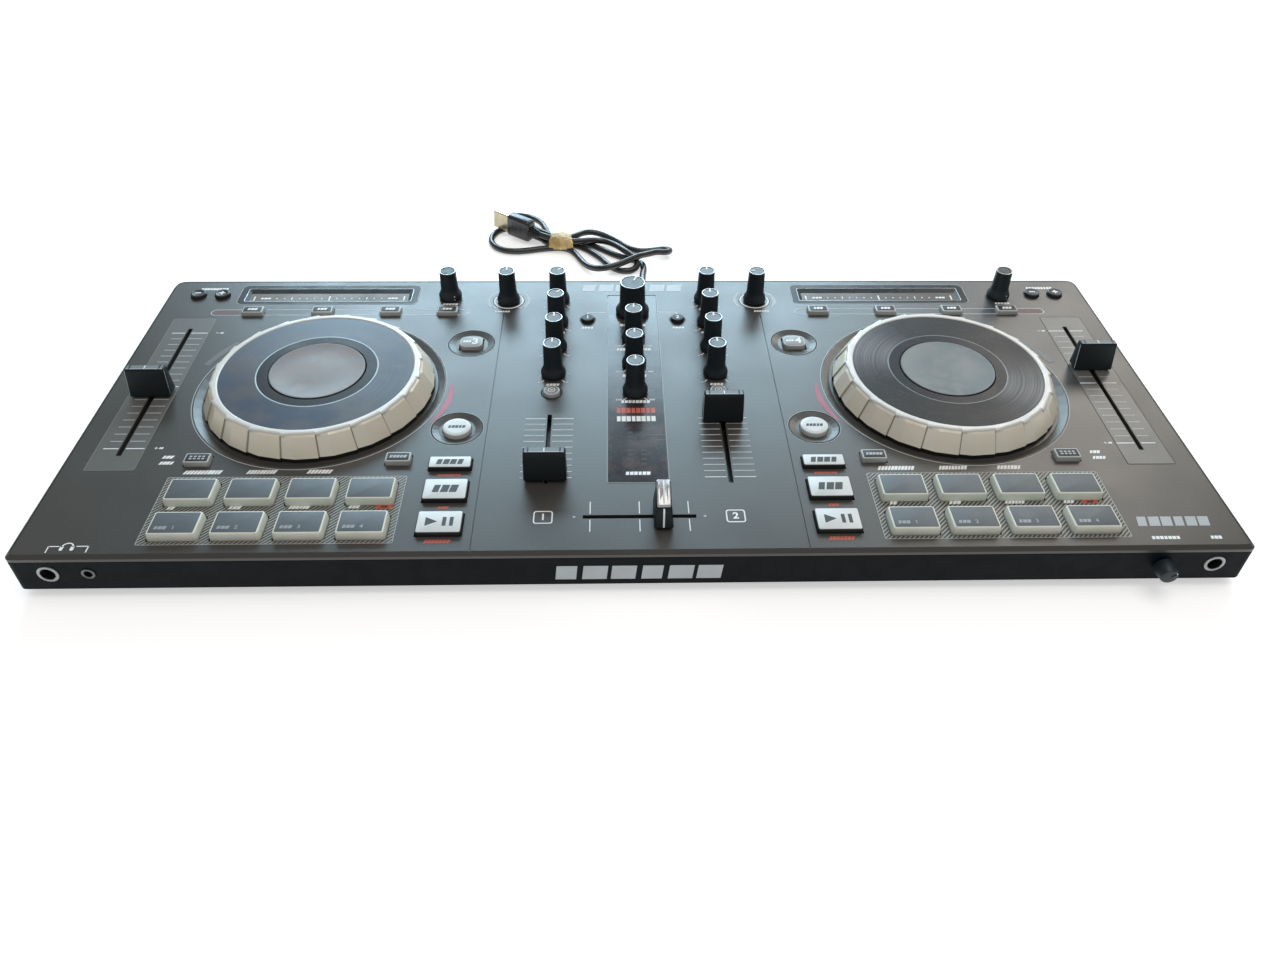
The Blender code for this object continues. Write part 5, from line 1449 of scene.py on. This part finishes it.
def knob_marks(piece, knob):
    """Two short strokes where the turn ends, and a small sign by each."""
    for end in (-1, 1):
        ray = Vector((end * math.sin(math.radians(140)), math.cos(math.radians(140))))
        near = centre_at(knob.x, knob.y, ray, 7.6)
        far = centre_at(knob.x, knob.y, ray, 9.4)
        piece.mark(stroke(*near, *far, 0.5))
        piece.mark(rounded(1.3, 0.35, 0.1, 2, far[0] + end * 1.4, far[1] - 0.4))
    for angle in (-90, 0, 90):
        ray = Vector((math.sin(math.radians(angle)), math.cos(math.radians(angle))))
        piece.mark(stroke(*centre_at(knob.x, knob.y, ray, 7.7),
                          *centre_at(knob.x, knob.y, ray, 8.7), 0.35), PRINT_DIM)


make_centre_window()
make_mixer_prints()


# ---------------------------------------------------------------- front, rear and underside
def make_sockets():
    """Bright rings and dark bores in front, and the name block on the front face."""
    front_y = box("circuit_board")[0].y
    z = 14.9
    piece = Piece("front_sockets")
    piece.frame = Matrix.Translation((0, front_y, z)) @ Matrix.Rotation(math.pi / 2, 4, "X")
    for x, outer, inner in ((-256.5, 4.5, 3.25), (-239.3, 2.85, 1.85), (256.7, 4.5, 3.25)):
        piece.turn(((inner, -1.5), (inner, 0.1), (inner + 0.25, 0.3), (outer - 0.3, 0.3),
                    (outer + 0.05, 0.05), (outer + 0.05, -0.2), (outer - 0.2, -1.5)),
                   (x, 0, 0), EDGE_SILVER if outer > 3 else STEEL, 48, loop=True)
        piece.turn(((inner, -12.0), (inner, -1.4), (inner - 0.35, -1.4), (inner - 0.35, -12.0)),
                   (x, 0, 0), BLACK_AND_PAINTED_GAP_SHADE, 32, loop=True)
    piece.done()

    name = Piece("front_name")
    name.frame = Matrix.Translation((0, CASE_FRONT, 0)) @ Matrix.Rotation(math.pi / 2, 4, "X")
    name.blocks(-1, 12.6, 76, 8.4, NAME_GREY, 6, 0.05, 0.02)
    name.done()


CASE_FRONT = box("bottom_case")[0].y
make_sockets()


def make_rear():
    """Phono rims and pins, the data port's shell, and plain label bars on the rear face."""
    case_y = box("bottom_case")[1].y
    board_y = box("circuit_board")[1].y
    z = 14.9
    piece = Piece("rear_sockets")
    piece.frame = Matrix.Translation((0, 0, z)) @ Matrix.Rotation(-math.pi / 2, 4, "X")
    for x, plastic in ((-118, WHITE_PLASTIC), (-102, RED_PLASTIC)):
        piece.turn(((4.2, case_y - 0.4), (6.0, case_y - 0.4), (6.0, case_y + 0.5),
                    (5.6, case_y + 0.9), (4.2, case_y + 0.9)), (x, 0, 0), plastic, 48, loop=True)
        piece.turn(((3.4, board_y - 6), (4.25, board_y - 6), (4.25, board_y - 0.4),
                    (4.0, board_y - 0.02), (3.5, board_y - 0.02), (3.4, board_y - 0.3)),
                   (x, 0, 0), CHROME, 48, loop=True)
        piece.turn(((1.6, board_y - 6), (3.4, board_y - 6), (3.4, board_y - 0.9),
                    (1.6, board_y - 0.9)), (x, 0, 0), plastic, 48, loop=True)
    frame_plate(piece, rounded(10.6, 9.6, 1.0, 4, -40, 0), rounded(9.0, 8.0, 0.8, 4, -40, 0),
                case_y - 0.5, case_y + 0.25, STEEL)
    frame_plate(piece, rounded(9.6, 5.4, 1.2, 4, -205, 0), rounded(7.6, 3.4, 1.0, 4, -205, 0),
                case_y - 0.5, case_y + 0.25, STEEL)
    for x, width, count in ((-40, 7, 3), (-110, 16, 7), (-205, 9, 4)):
        piece.frame = Matrix.Translation((0, 0, 0)) @ Matrix.Rotation(-math.pi / 2, 4, "X")
        piece.blocks(x, -20.4, width, 1.5, PRINT_DIM, count, 0.1, case_y + 0.02)
    piece.done()


def make_underside():
    """Screws in their sinks, shallow ribs and a blank rating label under the case."""
    low = box("bottom_case")[0].z
    piece = Piece("underside_trim")
    for x in (-205, -74, 74, 205):
        for y in (-78, 78):
            spot = (x, y, low)
            piece.turn(((2.2, 0.6), (3.9, 0.6), (3.9, -0.05), (3.5, -0.2), (2.4, -0.2)), spot,
                       RUBBER, 32, loop=True)
            piece.turn(((2.3, 0.5), (2.3, 0.0), (1.9, -0.15), (0.9, -0.2)), spot, STEEL, 32)
            # painted shade: a black cross where each screw's recess falls into shade
            for turn in (0, 90):
                piece.frame = Matrix.Translation(spot) @ Matrix.Rotation(math.radians(turn + x), 4, "Z")
                piece.slab(rounded(2.6, 0.6, 0.1, 2), -0.26, -0.1, BLACK_AND_PAINTED_GAP_SHADE)
            piece.frame = Matrix.Identity(4)
    for i in range(9):
        for end in (-1, 1):
            piece.slab(rounded(1.6, 34, 0.7, 4, end * 120 + (i - 4) * 5, -20), low - 0.25,
                       low + 0.2, RUBBER)
    piece.slab(rounded(72, 38, 2, 4, 0, 15), low - 0.12, low + 0.1, STEEL_LABEL)
    frame_plate(piece, rounded(69, 35, 1.5, 4, 0, 15), rounded(68.4, 34.4, 1.2, 4, 0, 15),
                low - 0.18, low, PRINT_DARK)
    piece.done()

    for node in ("foot_front_left", "foot_front_right", "foot_rear_left", "foot_rear_right"):
        spot = middle(node)
        bottom = box(node)[0].z
        tread = Piece(node + "_tread")
        for radius in (3.2, 5.4, 7.4):
            tread.ring(radius - 0.45, radius + 0.45, (spot.x, spot.y, bottom), 0.02, 0.5, TREAD, 48)
        tread.done()


make_rear()
make_underside()
